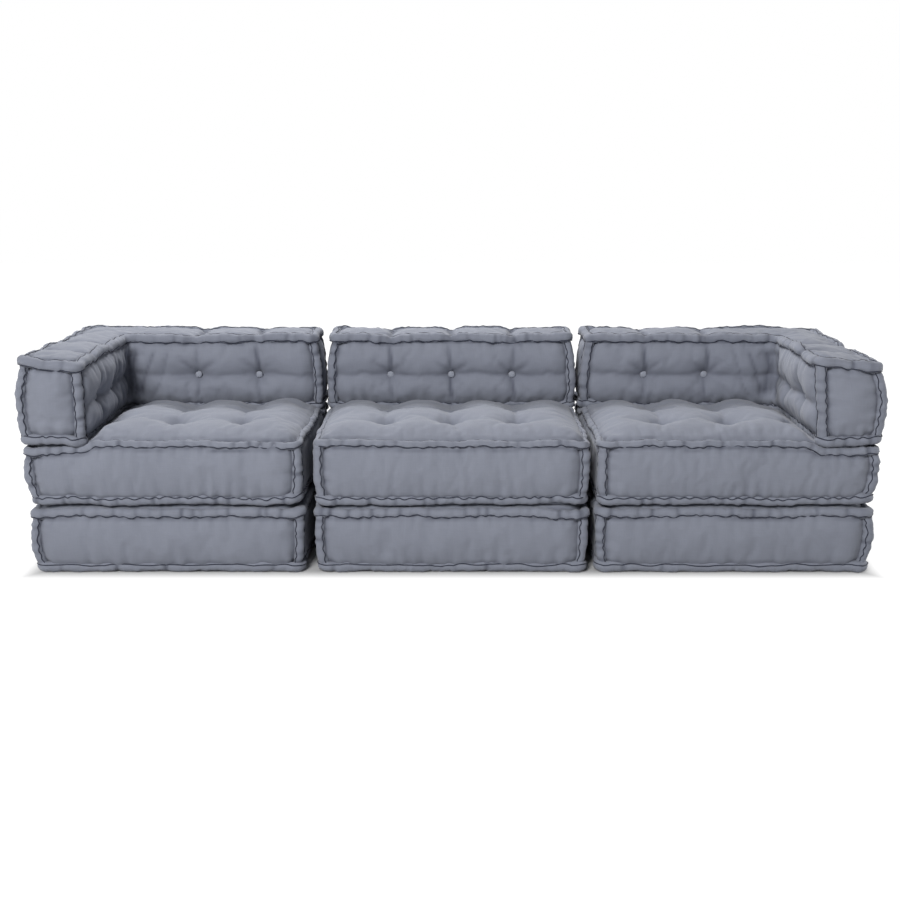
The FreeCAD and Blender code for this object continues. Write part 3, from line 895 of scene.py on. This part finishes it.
@dataclass
class Cushion:
    """One cushion of a module, with its cover, rolls, stitching and buttons."""

    side: Side
    layer: Layer
    sizes: SofaSizes
    finishes: Finishes

    def __post_init__(self) -> None:
        """Works out the cushion's plan, heights, tufts and rolls."""
        s = self.sizes
        self.name = f"{self.side.name.lower()}_{self.layer.name.lower()}"
        self.seed = 1000 + 300 * self.layer.value + 100 * (self.side.value + 1)
        self.centre = self.side.value * s.module_pitch
        self.low, self.high = s.levels(self.layer)
        self.stuffing = STUFFING[self.layer]
        across = (self.centre - s.module_width / 2, self.centre + s.module_width / 2)
        front, rear = -s.module_depth / 2, s.module_depth / 2
        self.face = rear - s.back_thickness
        self.arm_face = across[0] + s.back_thickness if self.side is Side.LEFT else across[1] - s.back_thickness
        if self.layer is not Layer.BACK:
            self.plan = Plan(across, (front, rear))
        elif self.side is Side.MIDDLE:
            self.plan = Plan(across, (self.face, rear))
        else:
            self.plan = Plan(across, (front, rear), self.side, s.back_thickness)
        self.tufts = self.make_tufts()
        self.rings = [self.ring(0), self.ring(1)]
        self.uprights = self.corner_paths()

    def columns(self) -> list[float]:
        """Where the back's tufts stand along x."""
        pitch = self.sizes.tuft_pitch_x
        if self.side is Side.MIDDLE:
            return [self.centre - pitch, self.centre, self.centre + pitch]
        return [self.centre, self.centre - self.side.value * pitch]

    def arm_rows(self) -> list[float]:
        """Where the arm's tufts stand along y."""
        return [] if self.side is Side.MIDDLE else [-self.sizes.tuft_pitch_y, 0.0]

    def make_tufts(self) -> list[Tuft]:
        """Every tuft of the cushion, with its folds."""
        s = self.sizes
        tufts: list[Tuft] = []
        if self.layer is Layer.SEAT:
            top = self.high + s.seat_crown
            folds = [Fold((0, 1, 0), 0.150, 0.0080, 0.012), Fold((0, -1, 0), 0.090, 0.0045, 0.010)]
            folds += [Fold((way, 0, 0), 0.095, 0.0050, 0.011) for way in (1, -1)]
            folds += [Fold((i, j, 0), 0.060, 0.0022, 0.007) for i in (1, -1) for j in (1, -1)]
            for x in (-s.tuft_pitch_x, 0.0, s.tuft_pitch_x):
                for y in (-s.tuft_pitch_y, 0.0, s.tuft_pitch_y):
                    seed = self.seed + 40 + len(tufts)
                    tufts.append(Tuft((self.centre + x, y, top), (0, 0, 1), s.seat_tuft, tuple(folds), seed))
                    tufts.append(Tuft((self.centre + x, y, self.low), (0, 0, -1), s.seat_tuft, tuple(folds), seed))
        if self.layer is Layer.BACK:
            row = self.low + s.back_row
            for x in self.columns():
                for y, out in ((self.face, -1.0), (self.plan.y[1], 1.0)):
                    tufts.append(self.wall_tuft((x, y, row), (0, out, 0), (1, 0, 0), len(tufts)))
            for y in self.arm_rows():
                outer = self.plan.x[0] if self.side is Side.LEFT else self.plan.x[1]
                for x, out in ((self.arm_face, -self.side.value), (outer, self.side.value)):
                    tufts.append(self.wall_tuft((x, y, row), (out, 0, 0), (0, 1, 0), len(tufts)))
        return tufts

    def wall_tuft(self, spot: Place, out: Place, level: Place, number: int) -> Tuft:
        """A tuft on an upright face, with folds up, down, along and aslant."""
        u = np.array(level, float)
        # Random strengths of the painted shade lines along the folds up, down and aslant.
        up, down, aslant = np.random.default_rng(self.seed + 80 + number).uniform(0.25, 1.0, 3)
        folds = [Fold((0, 0, 1), 0.115, 0.0075, 0.007, up), Fold((0, 0, -1), 0.095, 0.0065, 0.007, down)]
        for way in (u, -u):
            folds.append(Fold(tuple(way), 0.095, 0.0050, 0.008, 0.35))
            folds.append(Fold(tuple(way + 0.8 * UP), 0.080, 0.0034, 0.006, 0.4 * aslant))
            folds.append(Fold(tuple(way - 0.7 * UP), 0.060, 0.0022, 0.006, 0.2))
        return Tuft(spot, out, self.sizes.back_tuft, tuple(folds), self.seed + 40 + number)

    def pressed(self, flat: Array) -> Array:
        """1 where the back or the arm stands on the seat, 0 where the seat is free."""
        under = smooth_step((flat[:, 1] - self.face) / 0.04 + 0.5)
        if self.side is Side.MIDDLE:
            return under
        arm = smooth_step(self.side.value * (flat[:, 0] - self.arm_face) / 0.05 + 0.5)
        return 1 - (1 - under) * (1 - arm)

    def settled(self, places: Array) -> Array:
        """Moves places as the loose stack has settled.

        Bases and seats are narrower at their foot, and every cushion swells out where no neighbour stands. The ends of
        the backs draw in at the top. Further back, the sides of bases and seats all but meet their neighbours. A back
        sinks into its seat, whose edge gives way under it and stands up where it is free. The arms lean.
        """
        s, t = self.sizes, SETTLING
        x, y, z = places.T
        half = s.module_width / 2
        share = np.clip((z - self.low) / (self.high - self.low), 0, 1)
        across = (x - self.centre) / half
        outer = smooth_step((across * self.side.value - 0.5) / 0.5)
        end = np.sign(across) * smooth_step((np.abs(across) - 0.6) / 0.4) * (1 - outer)
        belly = 1 - ((share - self.stuffing.middle) / t.belly) ** 2
        moved = places.copy()
        moved[:, 0] += self.side.value * outer * self.stuffing.swell * belly
        if self.layer is Layer.BACK:
            moved[:, 0] -= end * (t.end_draw * share**2 - t.end_fill * belly)
            moved[:, 2] += share**2 * t.back_rise - t.sink * (1 - share) ** 2
        else:
            narrow = t.left_narrow * (self.side is Side.LEFT)
            deep = smooth_step((y + t.meet_start) / t.meet_run)
            moved[:, 0] -= across * half * t.taper * (1 - share) ** 2.5 * (1 - deep * np.abs(end))
            moved[:, 0] += end * (t.meet * deep - narrow * (1 - deep))
        if self.layer is Layer.SEAT:
            moved[:, 2] += share**2 * t.sink * (1 - 2 * self.pressed(places))
        if self.layer is Layer.BACK and self.side is not Side.MIDDLE:
            over = np.clip((x - self.arm_face) * self.side.value / s.back_thickness, 0, 1)
            front = smooth_step((self.face - y) / t.arm_run)
            if self.side is Side.LEFT:
                moved[:, 2] += share**2 * over * (t.left_rear + t.left_front * front)
            else:
                moved[:, 2] += share**2 * (t.right_inner * front * (1 - over) - t.right_outer * over)
                moved[:, 0] -= share**2 * t.right_lean * front * (1 - over)
        return moved

    def ring(self, which: int) -> RollPath:
        """The roll along the lower edge, 0, or the upper edge, 1. It wanders a little, and juts out at the corners."""
        s = self.sizes
        on_floor = self.layer is Layer.BASE and which == 0
        drop = s.floor_lift if on_floor else s.roll_drop
        drop -= 0.006 * (self.layer is Layer.BACK)
        level = self.high - drop - s.roll_radius if which else self.low + drop + s.roll_radius
        flat, middles = self.plan.rounded_path(s.roll_line, s.roll_bend, s.inner_bend + s.roll_line, ROLL_STEP)
        _, turned = self.plan.corners()
        tangent = np.roll(flat, -1, 0) - np.roll(flat, 1, 0)
        tangent /= np.linalg.norm(tangent, axis=1, keepdims=True)
        outward = np.column_stack([tangent[:, 1], -tangent[:, 0], np.zeros(len(flat))])
        points = np.column_stack([flat, np.full(len(flat), level)])
        seed = self.seed + which
        stitch = FLOOR_STITCH if on_floor else BACK_STITCH if self.layer is Layer.BACK and which else EDGE_STITCH
        plain = RollPath(points, outward, True, seed, stitch, ears=middles[~turned])
        dips = np.zeros(0)
        hidden = np.zeros(len(flat))
        if self.layer is Layer.BACK and which == 1:
            spots = np.array([t.spot for t in self.tufts])
            spots[:, 2] = level
            dips = plain.along[plain.nearest(spots)[0]]
        if self.layer is Layer.BACK and which == 0:
            probe = points + 0.03 * outward
            front = self.plan.y[0] + 0.03 - 0.3 * (self.side is Side.MIDDLE)
            free = (self.pressed(probe) < 0.5) & (probe[:, 1] > front)
            free &= np.abs(probe[:, 0] - self.centre) < s.module_width / 2
            hidden = np.convolve(np.tile(free, 3), np.full(15, 1 / 15), "same")[len(free) : 2 * len(free)]
        wander = ripples(seed + 5, ((0.0014, 0.16, 20), (0.0006, 0.05, 20)), points)
        lift = ripples(seed + 7, ((0.0018, 0.20, 20), (0.0009, 0.06, 20)), points)
        lift = np.abs(lift) if on_floor else lift
        sunk = plain.bumps(dips, 0.016).sum(1)
        points = points + outward * (wander + plain.ear * RELIEF.ear - sunk * 0.003 - hidden * 0.012)[:, None]
        points = points + UP * (lift - sunk * 0.006 - hidden * 0.004)[:, None]
        thin = np.zeros(len(flat))
        if self.layer is Layer.SEAT and which == 1:
            thin = 0.28 * (1 - 0.6 * self.pressed(points))
            points = points + UP * (0.6 * thin * s.roll_radius)[:, None]
        return RollPath(self.settled(points), outward, True, seed, stitch, middles[~turned], dips, thin)

    def corner_paths(self) -> list[RollPath]:
        """The upright rolls, from ring to ring, bowed out at half height."""
        s = self.sizes
        corners, turned = self.plan.corners()
        run, before = self.plan.turns()
        end = 0.016
        count = int((self.high - self.low - 2 * end) / ROLL_STEP)
        height = np.linspace(self.low + end, self.high - end, count)
        share = np.linspace(-1, 1, len(height))
        inset = s.roll_radius + s.roll_bend * (1 - math.sqrt(0.5))
        paths = []
        for number, (corner, way) in enumerate(zip(corners[~turned], (run - before)[~turned])):
            out = np.append(-way / np.linalg.norm(way), 0)
            places = np.column_stack([np.tile(corner + way * inset, (len(height), 1)), height])
            seed = self.seed + 20 + number
            bow = 0.004 - 0.007 * share**2 + Ripple(seed, 0.09).at(places) * 0.0010
            places = self.settled(places + out * bow[:, None])
            paths.append(RollPath(places, np.tile(out, (len(height), 1)), False, seed))
        return paths

    def radius_at(self, path: RollPath, angle: Array) -> Array:
        """How far the roll's skin is from its line: lumpy, pinched at the stitches, fuller at the bunched corners.

        Args:
            path: The roll's line.
            angle: Angles round it, one row per point of the line.

        Returns:
            One distance per angle.
        """
        s = self.sizes
        lump = Ripple(path.seed + 11, 0.07).at(path.points)[:, None]
        spots = np.column_stack([np.repeat(path.along, angle.shape[1]), (angle * s.roll_radius).ravel()])
        wrinkle = Ripple(path.seed + 12, 0.022, 30).at(spots).reshape(angle.shape)
        pinched = path.pinch[:, None] * (0.7 + 0.3 * np.cos(angle * 2))
        full = s.roll_radius * (0.97 + 0.05 * lump + 0.08 * path.ear[:, None] - 0.18 * path.sag[:, None])
        return full * path.full[:, None] - RELIEF.pinch * pinched + RELIEF.wrinkle * wrinkle

    def roll_skin(self, path: RollPath, columns: int = 14) -> tuple[Surface, Array]:
        """A stuffed roll as a tube, and the painted shade at each place of it, darker deep in its pinches and sags."""
        angle = np.tile(np.arange(columns) * 2 * np.pi / columns, (len(path.points), 1))
        surface = path.tube(self.radius_at(path, angle))
        # Painted shade in the pinches and sags of the roll.
        depth = np.clip(0.6 * path.pinch + 0.25 * path.sag, 0, 1)
        return surface, np.repeat(depth, columns)

    def seam_angle(self) -> float:
        """The angle below the upper roll's middle at which the swollen side meets its skin."""
        s = self.sizes
        angle = np.linspace(0, math.pi / 2, 400)
        share = 1 - (s.roll_drop + s.roll_radius * (1 + np.sin(angle))) / (self.high - self.low)
        side = s.edge_draw * np.abs(2 * share - 1) ** s.barrel
        roll = s.roll_line - s.roll_radius * np.cos(angle)
        return float(angle[np.argmax(side < roll)])

    def seam(self, path: RollPath, angle: float, thread: float = 0.0015) -> Surface:
        """The stitching beside a roll: a thread that waves from side to side once for every stitch.

        Args:
            path: The roll's line.
            angle: Where the seam runs round the roll.
            thread: Radius of the thread.

        Returns:
            The thread's tube.
        """
        wave = path.wave * 0.15 + Ripple(path.seed + 14, 0.08).at(path.points) * 0.04
        turned = angle - math.copysign(0.14, angle) + wave
        reach = self.radius_at(path, turned[:, None])[:, 0] + 0.4 * thread
        spoke = np.cos(turned)[:, None] * path.outward + np.sin(turned)[:, None] * path.side
        line = RollPath(path.points + spoke * reach[:, None], spoke, path.closed, path.seed)
        return line.tube(np.full((len(path.points), 6), thread))

    def crown(self, flat: Array) -> Array:
        """How far the stuffing lifts the top at plan places: a product of ramps in from every free edge.

        A seat's crown ends short of the back and the arm that stand on it, and dips from each tuft to the back: by
        1 - |sin| across the tufts. The top of a back or arm lies lower than its rolls.
        """
        s = self.sizes
        x, y = flat[:, 0], flat[:, 1]
        if self.layer is Layer.BASE:
            return np.zeros(len(flat))
        gentle, steep = (0.060, 0.030) if self.layer is Layer.SEAT else (0.034, 0.034)
        rest = np.ones(len(flat))
        for (x0, x1), (y0, y1) in self.plan.boxes():
            edges = [x - x0 - s.edge_draw, x1 - s.edge_draw - x, y - y0 - s.edge_draw, y1 - s.edge_draw - y]
            runs = [gentle] * 4
            if self.layer is Layer.SEAT:
                edges[3], runs[3] = self.face - s.crown_clear - y, steep
                if self.side is not Side.MIDDLE:
                    arm = 0 if self.side is Side.LEFT else 1
                    edges[arm], runs[arm] = self.side.value * (self.arm_face - x) - s.crown_clear, steep
            rest *= 1 - np.prod([parabola_ramp(edge / run) for edge, run in zip(edges, runs)], axis=0)
        if self.layer is Layer.BACK:
            return (rest - 1) * 0.5 * s.back_crown
        wave = np.abs(np.sin(np.pi * (x - self.centre) / s.tuft_pitch_x))
        rear = smooth_step((y + 0.03) / 0.10) * (0.022 * (1 - wave) + 0.002)
        return (1 - rest) * (s.seat_crown - SETTLING.sink - rear)

    def cover(self) -> tuple[Surface, Array]:
        """The stuffed cover: crown, tufts, folds, drawn seams, puckers and unevenness on the plain block.

        Returns:
            Its surface, and the painted shade at each place: how far its colour darkens in seams, puckers, dimples and
            folds.
        """
        s = self.sizes
        block, facing = CushionForm(self.plan, self.low, self.high, s, self.stuffing.cell).block()
        verts = block.verts.copy()
        top = facing > 0
        lift = self.crown(verts[top, :2])
        verts[top, 2] += lift
        normals = Surface(verts, block.quads, block.cloth).normals()
        settled = self.settled(verts)
        free = np.ones(len(verts))
        free[facing < 0] = 0
        if self.layer is Layer.BASE:
            free[top] = 0
        elif self.layer is Layer.SEAT:
            free[top] = smooth_step(lift / 0.006)
        push = np.zeros(len(verts))
        # Painted shade: the colour darkens in seam grooves, puckers, tuft dimples, fold lines, level folds, corner
        # pleats and valleys.
        crease = np.zeros(len(verts))
        loose = np.ones(len(verts))
        sewn = np.zeros(len(verts), bool)
        for number, path in enumerate(self.rings + self.uprights):
            index, far = path.nearest(settled)
            gap = np.abs(far - s.roll_radius)
            shown = far > 0.6 * s.roll_radius
            loose = np.minimum(loose, smooth_step((far - s.roll_radius) / 0.035))
            sewn |= far < s.roll_radius + 0.004
            push -= RELIEF.groove * bell(gap, 0.004) - RELIEF.wave * path.wave[index] * np.exp(-gap / 0.006)
            pucker = Ripple(path.seed + 17, 0.042).at(path.along[:, None])[index]
            depth, width = (0.0014, 0.030) if number == 0 else (0.0008, 0.020)
            reach = np.exp(-gap / width) * shown
            push += (depth * pucker - RELIEF.drawn * path.pinch[index]) * reach
            # Painted shade in the seam groove and in the troughs of the puckers.
            crease = np.maximum(crease, 0.5 * bell(gap, 0.003) + 0.12 * np.clip(-pucker, 0, 2) * reach)
        tied = np.zeros(len(verts), bool)
        for tuft in self.tufts:
            dimple, folds, lines = tuft.pull(verts, normals)
            push -= dimple + folds
            # Painted shade in the tuft's dimple, its folds and along their bottoms.
            crease = np.maximum(crease, np.clip(0.4 * dimple / tuft.depth + 20 * folds, 0, 0.4))
            crease = np.maximum(crease, 0.85 * lines)
            tied |= dimple > 0.72 * tuft.depth
        if self.layer is Layer.BACK:
            swell, row = self.pillows(verts, normals)
            hollow, pleats = self.pleats(verts, normals)
            valleys = self.valleys(verts, top)
            push += swell - row - hollow - pleats - valleys
            # Painted shade along the level fold, the corner pleats and the valleys across the top.
            crease = np.maximum(crease, np.clip(25 * row, 0, 0.3))
            crease = np.maximum(crease, np.clip(90 * pleats - 0.15, 0, 0.6))
            crease = np.maximum(crease, np.clip(110 * valleys - 0.75, 0, 0.6))
        crumple = np.minimum(np.abs(Ripple(self.seed + 64, 0.060, 30).at(verts)), 1.2) - 0.7
        push += np.where(top, self.stuffing.crumple, RELIEF.side_crumple) * crumple * loose
        rough = ripples(self.seed + 61, ((0.0018, 0.20, 20), (0.0010, 0.085, 20), (0.0004, 0.034, 30)), verts)
        push = np.where(facing < 0, np.minimum(push, 0), push + rough * loose)
        end = np.sign(verts[:, 0] - self.centre)
        beside = (facing == 0) & (normals[:, 0] * end > 0.7) & (end != self.side.value)
        if self.layer is not Layer.BACK:
            push -= RELIEF.recess * beside * loose * smooth_step(-verts[:, 1] / 0.10)
        places = settled + normals * (push * free)[:, None]
        surface = Surface(places, block.quads, block.cloth)
        places = CanvasDrape().settle(surface, sewn | tied | beside | (free < 0.5))
        surface = Surface(self.kept_apart(places), block.quads, block.cloth)
        return surface, np.clip(crease, 0, 1)

    def kept_apart(self, places: Array, gap: float = 0.001) -> Array:
        """Presses the sides that face a neighbour flat, so that a gap stays between them."""
        room = (self.sizes.module_pitch - gap) / 2
        kept = places.copy()
        low = -math.inf if self.side is Side.LEFT else self.centre - room
        high = math.inf if self.side is Side.RIGHT else self.centre + room
        kept[:, 0] = np.clip(kept[:, 0], low, high)
        return kept

    def pillows(self, verts: Array, normals: Array) -> tuple[Array, Array]:
        """The swell of the upper and lower half of a tufted face, and the level fold between them along the tufts.

        Each half swells by a half wave of a sine from its seam to the fold. The fold is depth * exp(-|b| / width).
        """
        s = self.sizes
        x, y, z = verts.T
        row = self.low + s.back_row
        level = np.where(z > row, (z - row) / (self.high - 0.026 - row), (row - z) / (row - self.low - 0.026))
        swell = RELIEF.pillow * np.sin(np.pi * np.clip(level, 0, 1))
        bend = 0.004 * np.sin(x / 0.05) + 0.004 * np.sin(y / 0.04) + 0.002 * Ripple(self.seed + 71, 0.06).at(verts)
        fold = RELIEF.level_fold * np.exp(-np.abs(z - row - bend) / 0.011)
        ends = np.abs(normals[:, 1]) * (y > self.face - 0.02)
        if self.side is not Side.MIDDLE:
            arm = self.side.value * (x - self.arm_face) > -0.02
            ends = np.maximum(ends, np.abs(normals[:, 0]) * arm)
        here = smooth_step((ends - 0.6) / 0.3)
        return swell * here, fold * here

    def pleats(self, verts: Array, normals: Array) -> tuple[Array, Array]:
        """The hollow at the inner corner of an L, and the upright folds where the canvas is gathered into it.

        Each fold is depth * exp(-|b| / width) at the distance b from a line that sways along the corner.
        """
        x, y, z = verts.T
        hollow, depth = np.zeros((2, len(verts)))
        if self.side is Side.MIDDLE:
            return hollow, depth
        beside = self.side.value * (self.arm_face - x)
        before = self.face - y
        faces = (
            (beside, -normals[:, 1] * (np.abs(before) < 0.03), 0.0),
            (before, -normals[:, 0] * self.side.value * (np.abs(beside) < 0.03), 1.7),
        )
        for away, facing, phase in faces:
            here = smooth_step((facing - 0.5) / 0.3)
            hollow += RELIEF.hollow * here * smooth_step((0.085 - away) / 0.08)
            for start, lean, deep in ((0.020, 0.10, 0.010), (0.052, 0.28, 0.007), (0.094, 0.45, 0.0045)):
                sway = lean * (z - self.low - 0.10) + 0.005 * np.sin(z / 0.030 + 63 * start + phase)
                depth += deep * here * np.exp(-np.abs(away - start - sway) / 0.008)
        clear = smooth_step((self.high - 0.030 - z) / 0.03) * smooth_step((z - self.low - 0.02) / 0.03)
        return hollow * clear, depth * clear

    def valleys(self, verts: Array, top: Array) -> Array:
        """Folds across the top of a back or arm, where the ties pull it down between the tufts of its two faces."""
        x, y = verts[:, 0], verts[:, 1]
        depth = np.zeros(len(verts))
        runs = ((x, y, self.columns(), 2.1, y > self.face), (y, x, self.arm_rows(), 1.3, y < self.face))
        for across, along, tufts, phase, here in runs:
            for number, tuft in enumerate(tufts):
                wave = 0.004 * np.sin(along / 0.03 + number * phase)
                depth += RELIEF.valley * np.exp(-np.abs(across - tuft - wave) / 0.016) * here
        return depth * top

    def buttons(self) -> Surface:
        """Covered buttons: a square grid turned into a disc, domed on its outer side and flat on its inner side.

        The grid place (u, v) goes to (u * sqrt(1 - v*v / 2), v * sqrt(1 - u*u / 2)). The dome is (1 - r ** 2.5) ** 0.5.
        """
        s = self.sizes
        steps = np.linspace(-1, 1, BUTTON_LINES)
        u, v = (g.ravel() for g in np.meshgrid(steps, steps, indexing="ij"))
        disc = np.column_stack([u * np.sqrt(1 - v * v / 2), v * np.sqrt(1 - u * u / 2)])
        r = np.clip(np.linalg.norm(disc, axis=1), 0, 1)
        pleat = 1 - 0.05 * r**3 * np.abs(np.cos(4.5 * np.arctan2(disc[:, 1], disc[:, 0])))
        rim = np.maximum(np.abs(u), np.abs(v)) > 0.999
        dome = np.where(rim, 0.25, 0.25 + 0.75 * np.sqrt(1 - np.minimum(r, 1) ** 2.5)) * pleat
        cap = grid_quads(BUTTON_LINES)
        number = np.arange(len(disc))
        under = np.where(rim, number, len(disc) + number)
        parts = []
        for tuft in self.tufts:
            out = np.array(tuft.out, float)
            first = np.cross(out, UP) if abs(out[2]) < 0.5 else np.array([1.0, 0, 0])
            second = np.cross(out, first)
            spot = self.settled(np.array([tuft.spot]))[0] - out * (tuft.depth - 0.0002)
            outer = disc[:, :1] * first + disc[:, 1:] * second
            face = spot + s.button_radius * outer + (s.button_height * dome)[:, None] * out
            back = spot + s.button_radius * 0.96 * outer
            verts = np.concatenate([face, back])
            quads = np.concatenate([cap, under[cap][:, ::-1]])
            cloth = np.concatenate([disc[cap], disc[cap[:, ::-1]]]) * s.button_radius
            parts.append(Surface(verts, quads, cloth))
        return Surface.joined(parts)

    def dress(
        self, name: str, surface: Surface, crease: Array | None, finish: bpy.types.Material
    ) -> bpy.types.Object:
        """Places a piece of this cushion, with its finish, on the cushion's body."""
        piece = place_mesh(f"{self.name}_{name}", surface, crease)
        piece.data.materials.append(finish)
        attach(piece, self.name)
        LOG.info("%s_%s: %d faces", self.name, name, len(surface.quads))
        return piece

    def build(self) -> None:
        """Makes every piece of the cushion in place of its CAD nodes."""
        cover, crease = self.cover()
        piece = self.dress("stuffed_cover", cover, crease, self.finishes.canvas)
        smooth = piece.modifiers.new("smooth", "SUBSURF")
        smooth.levels = 1
        smooth.render_levels = 1
        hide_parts(f"{self.name}_cover", f"{self.name}_filling")
        for kind, paths in (("edge_rolls", self.rings), ("corner_rolls", self.uprights)):
            skins = [self.roll_skin(path) for path in paths]
            surface = Surface.joined([skin for skin, _ in skins])
            # The rolls' pinch and sag depths become painted shade in their colour.
            depth = np.concatenate([pinch for _, pinch in skins])
            piece = self.dress(f"stitched_{kind}", surface, depth, self.finishes.rolled)
            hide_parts(f"{self.name}_{kind}")
        meet = self.seam_angle()
        seams = [self.seam(self.rings[0], meet), self.seam(self.rings[1], -meet)]
        if self.layer is not Layer.BASE:
            upper = 0.0005 if self.layer is Layer.SEAT else 0.0010
            seams.append(self.seam(self.rings[1], math.radians(122), upper))
        seams += [self.seam(path, math.radians(angle)) for path in self.uprights for angle in (82, -82)]
        # Near-black seam thread: real stitching whose dark finish also paints the shade of the groove along each seam.
        self.dress("seam_stitching", Surface.joined(seams), None, self.finishes.thread_and_seam_shade)
        if self.tufts:
            piece = self.dress("covered_buttons", self.buttons(), None, self.finishes.button)
            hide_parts(f"{self.name}_buttons", f"{self.name}_tufting_ties")


@dataclass(frozen=True)
class Lamp:
    """A square soft lamp that faces the middle of the sofa: its place, the length of its side and its power in W."""

    name: str
    place: Place
    size: float
    power: float

    def build(self) -> None:
        """Hangs the lamp."""
        data = bpy.data.lights.new(self.name, "AREA")
        data.size = self.size
        data.energy = self.power
        lamp = link(bpy.data.objects.new(self.name, data))
        lamp.location = self.place
        aim = np.array(SOFA_MIDDLE) - np.array(self.place)
        flat = math.hypot(aim[0], aim[1])
        lamp.rotation_euler = (math.atan2(flat, -aim[2]), 0, math.atan2(-aim[0], aim[1]))


SOFA_MIDDLE = (0.0, 0.0, 0.3)
LAMPS = (
    Lamp("key", (-2.0, -5.8, 4.3), 2.2, 460),
    Lamp("top", (-0.6, 2.0, 2.8), 1.5, 95),
    Lamp("left_fill", (-4.3, 0.9, 0.6), 0.9, 45),
    Lamp("right_fill", (4.3, 0.9, 0.6), 0.9, 60),
)


@dataclass(frozen=True)
class Studio:
    """A white floor that keeps a faint shadow, soft lamps and the photograph's camera."""

    lens: float = 47.03
    pitch: float = 14.54
    eye: Place = (-0.004, -3.194, 1.085)
    footprint: Place = (1.090, 0.300, 0.0)
    floor_reach: float = 8.0
    floor_level: float = -0.0005

    def seen_white(self, tree: bpy.types.NodeTree) -> bpy.types.NodeSocket:
        """1 for rays that show the background, straight or in gloss or glass."""
        path = add_node(tree, "ShaderNodeLightPath").outputs
        plain = math_node(tree, "MAXIMUM", path["Is Camera Ray"], path["Is Glossy Ray"])
        return math_node(tree, "MAXIMUM", plain, path["Is Transmission Ray"])

    def floor(self) -> None:
        """A wide floor: white paper that shows plain white, but keeps its shadow near the sofa and under it."""
        steps = np.linspace(-self.floor_reach, self.floor_reach, 3)
        flat = np.column_stack([g.ravel() for g in np.meshgrid(steps, steps, indexing="ij")])
        cap = grid_quads(len(steps))
        level = np.full(len(flat), self.floor_level)
        piece = place_mesh("paper_floor", Surface(np.column_stack([flat, level]), cap, flat[cap]))
        material = bpy.data.materials.new("white_paper")
        tree = fresh_tree(material)
        paper = add_node(tree, "ShaderNodeBsdfDiffuse", Color=hex_colour("#c4c4c4"))
        white = add_node(tree, "ShaderNodeEmission", Color=hex_colour("#ffffff"), Strength=1.38)
        place = add_node(tree, "ShaderNodeTexCoord").outputs["Object"]
        out = add_node(tree, "ShaderNodeVectorMath", {"operation": "ABSOLUTE"}, i0=place).outputs[0]
        beyond = add_node(tree, "ShaderNodeVectorMath", {"operation": "SUBTRACT"}, i0=out, i1=self.footprint).outputs[0]
        split = add_node(tree, "ShaderNodeSeparateXYZ", i0=beyond).outputs
        far = math_node(tree, "MAXIMUM", split[0], split[1])
        ramp = {"interpolation_type": "SMOOTHSTEP"}
        open_floor = add_node(tree, "ShaderNodeMapRange", ramp, Value=far, From_Min=-0.03, From_Max=0.05, To_Max=0.72)
        share = math_node(tree, "MULTIPLY", self.seen_white(tree), open_floor.outputs[0])
        both = add_node(tree, "ShaderNodeMixShader", i0=share, i1=paper.outputs[0], i2=white.outputs[0])
        add_node(tree, "ShaderNodeOutputMaterial", Surface=both.outputs[0])
        piece.data.materials.append(material)

    def world(self) -> None:
        """Even light from all round, and plain white behind."""
        world = bpy.data.worlds.new("studio")
        bpy.context.scene.world = world
        tree = fresh_tree(world)
        light = add_node(tree, "ShaderNodeBackground", Color=hex_colour("#ffffff"), Strength=0.10)
        white = add_node(tree, "ShaderNodeBackground", Color=hex_colour("#ffffff"), Strength=1.0)
        seen = self.seen_white(tree)
        both = add_node(tree, "ShaderNodeMixShader", i0=seen, i1=light.outputs[0], i2=white.outputs[0])
        add_node(tree, "ShaderNodeOutputWorld", Surface=both.outputs[0])

    def camera(self) -> None:
        """The photograph's camera, fitted to the corners of the modules."""
        data = bpy.data.cameras.new("photograph")
        data.sensor_width = 36
        data.sensor_fit = "HORIZONTAL"
        data.lens = self.lens
        camera = link(bpy.data.objects.new("photograph", data))
        camera.location = self.eye
        camera.rotation_euler = (math.radians(90 - self.pitch), 0, 0)
        bpy.context.scene.camera = camera

    def build(self) -> None:
        """Sets up the floor, the lamps and the camera."""
        bpy.context.scene.view_settings.view_transform = "Standard"
        self.camera()
        self.floor()
        self.world()
        for lamp in LAMPS:
            lamp.build()


def main() -> None:
    """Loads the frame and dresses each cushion."""
    logging.basicConfig(level=logging.INFO, format="%(message)s")
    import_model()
    Studio().build()
    sizes = SofaSizes()
    finishes = Finishes.made()
    for side in Side:
        for layer in Layer:
            Cushion(side, layer, sizes, finishes).build()


if __name__ == "__main__":
    main()
